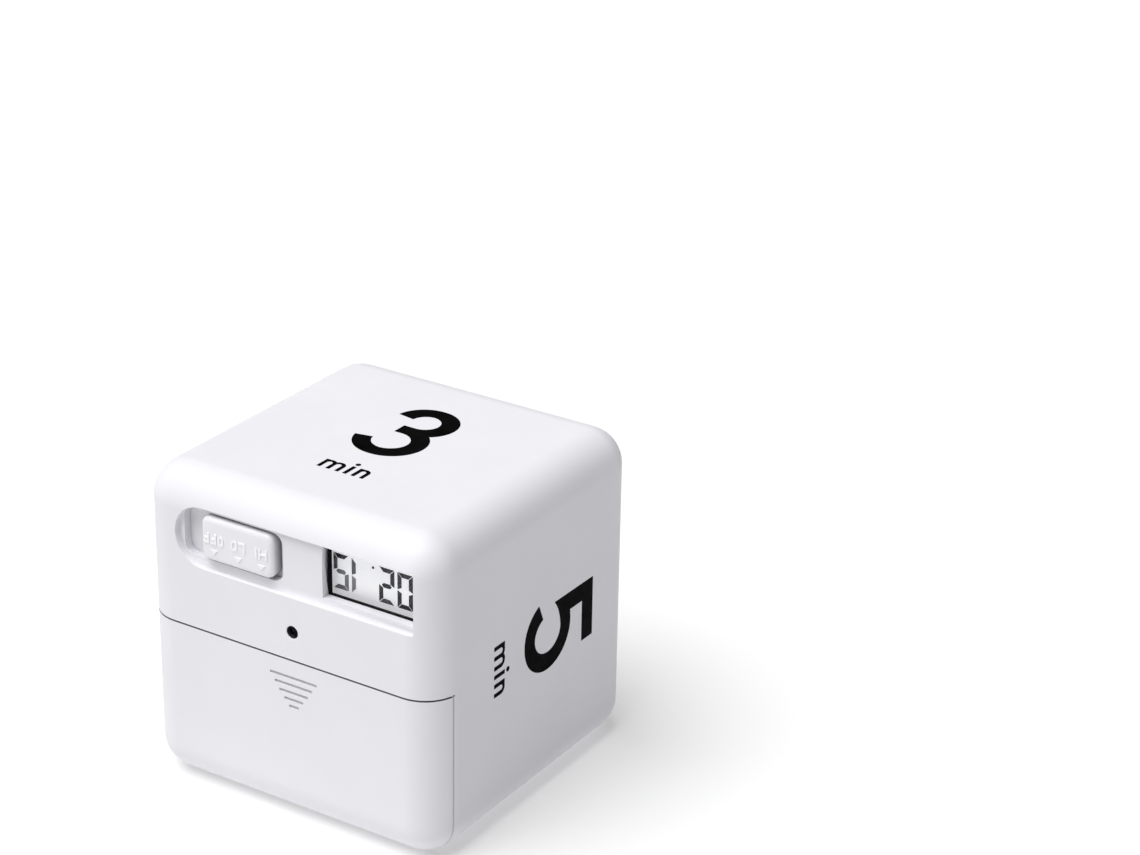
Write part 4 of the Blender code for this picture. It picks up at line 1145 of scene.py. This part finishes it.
# the chip's middle, and the twelve tracks of its fan, counted from the middle
CHIP_X, FAN = 10.0, np.arange(-5.5, 6.0)
fan = [[(CHIP_X + 0.55 * k, 42.3), (CHIP_X + 0.9 * k, 41.3), (CHIP_X + 0.9 * k, 40.0 - 0.25 * abs(k))]
       for k in FAN]
upper = [[(8.4 - 0.6 * k, 49.9), (7.9 - 0.6 * k, 50.6 + 0.45 * k), (-9.0 + 1.9 * k, 50.6 + 0.45 * k)]
         for k in range(6)]
runs = [[(-14.55, 47.3), (-14.55, 45.6), (-16.2, 44.0), (-16.2, 40.0)],
        [(-8.55, 47.3), (-8.55, 44.0), (-5.2, 40.4), (-5.2, 36.8)],
        [(-3.7, 36.8), (-5.2, 36.8)],
        [(4.4, 36.8), (6.6, 36.8), (7.4, 37.6), (7.4, 38.4)],
        [(22.4, 41.8), (22.4, 45.2), (21.3, 46.3)],
        [(19.6, 39.4), (19.6, 44.6), (21.0, 46.0)],
        [(0.0, 36.8), (0.8, 36.8)],
        [(14.2, 43.4), (15.4, 42.6), (16.2, 42.2)],
        [(-7.1, 35.1), (-7.1, 34.2), (13.0, 34.2), (15.5, 36.7), (15.5, 38.2)],
        [(-12.0, 41.2), (-12.0, 38.6), (-9.6, 36.2), (-9.0, 35.6)]]
tracks = [quad for path in fan + upper + runs for quad in stroke(np.array(path), 0.13, 0.13)]
on_rear("board_tracks", tracks, 0.03, under_mask)
print("tracks:", len(fan + upper + runs))

# %% [markdown]
# ## Pads, outlines and fingers
#
# Each leg comes through the board in the middle of a tinned pad, and the flat parts sit on square ones.
# White outlines show where the parts go. At the front, a row of gilded fingers meets the striped
# rubber, one for each line of the display.

# %% Pads, outlines and fingers
def disc(x, z, r, count=20):
    """A round pad as a polygon."""
    return arc((x, z), (r, r), 0.0, 360.0 - 360.0 / count, count)


def ring(x, z, r, pen):
    """A round line of the pen's width, inside the radius r."""
    return list(between(*(arc((x, z), (reach, reach), 0, 360, 49) for reach in (r - pen, r))))


leg_spots = [(-14.55 + 2.0 * k, 47.75) for k in range(4)] + [
    (-11.97, 41.97), (-13.1, 40.84), (-7.03, 41.97), (-5.9, 40.84), (-19.4, 38.8), (-17.8, 38.8)]
lead_spots = [(22.4, 41.0), (19.6, 38.6)]
pads = [disc(*spot, 0.85) for spot in leg_spots] + [disc(*spot, 1.1) for spot in lead_spots]
pads += [bar(x + shift, 35.9, x + shift + 1.0, 37.7) for shift in (-0.35, 2.55)
         for x in RESISTORS.values()]
pads += [bar(-9.4, 34.9, -8.5, 36.0), bar(-7.6, 34.9, -6.7, 36.0), bar(-8.5, 37.8, -7.6, 38.8)]
pads += [disc(CHIP_X + 0.9 * k, 39.7 - 0.25 * abs(k), 0.36) for k in FAN]
on_rear("board_pads", pads, 0.035, solder)

white_ink = finish("board_print", (0.66, 0.67, 0.66), (0.60, 0.61, 0.60), 0.55, 0.06, grain=4200.0,
                   relief=0.15, patch=300.0)
PEN = 0.16
frames = ring(CHIP_X, 46.0, 4.75, PEN) + ring(21.3, 48.5, 2.85, PEN)
for x0, z0, x1, z1 in ((15.1, 41.5, 17.9, 48.6), (-4.2, 35.5, 0.3, 38.1), (0.4, 35.5, 4.9, 38.1),
                       (-9.9, 34.5, -6.2, 39.1)):
    frames += [bar(x0, z0, x1, z0 + PEN), bar(x0, z1 - PEN, x1, z1), bar(x0, z0, x0 + PEN, z1),
               bar(x1 - PEN, z0, x1, z1)]
on_rear("board_outlines", frames, 0.02, white_ink)

fingers = [bar(6.6 + 0.8 * k, 41.4, 7.05 + 0.8 * k, 42.6) for k in range(23)]
front = on_face((0.0, FRONT_Y, 0.0), (1, 0, 0), (0, 0, 1))
plate("board_fingers", fingers, front, -0.02, 0.03, brass, "housing")
print("pads:", len(pads), "fingers:", len(fingers))

# %% [markdown]
# ## Solder
#
# Molten solder climbs a leg and freezes as a small cone with hollow sides. Its radius falls fast at
# the foot and slowly near the leg, so one power of the height gives the whole outline.

# %% Solder drops
def solder_cone(spot, wide, thin, tall):
    """A drop of solder round a leg: r = thin + (wide - thin) (1 - s) to the power 2.2, and the height
    grows with s from the board. A last small ring closes it on top."""
    s = np.linspace(0.0, 1.0, 9)[:, None] + np.zeros((1, 20))
    radius = np.vstack([thin + (wide - thin) * (1.0 - s) ** 2.2, 0.05 + 0 * s[:1]])
    height = np.vstack([0.02 + tall * s, 0.02 + tall * s[-1:] + 0.03])
    return round_surface(radius, height, (spot[0], REAR_Y, spot[1]), (0, 1, 0))


drops = [solder_cone(spot, 0.78, 0.36, 0.6) for spot in leg_spots]
drops += [solder_cone(spot, 1.05, 0.62, 0.7) for spot in lead_spots]
made = joined("solder_drops", drops, solder, "housing", sharp=50.0)
print("solder drops:", len(drops), "faces:", len(made.data.polygons))
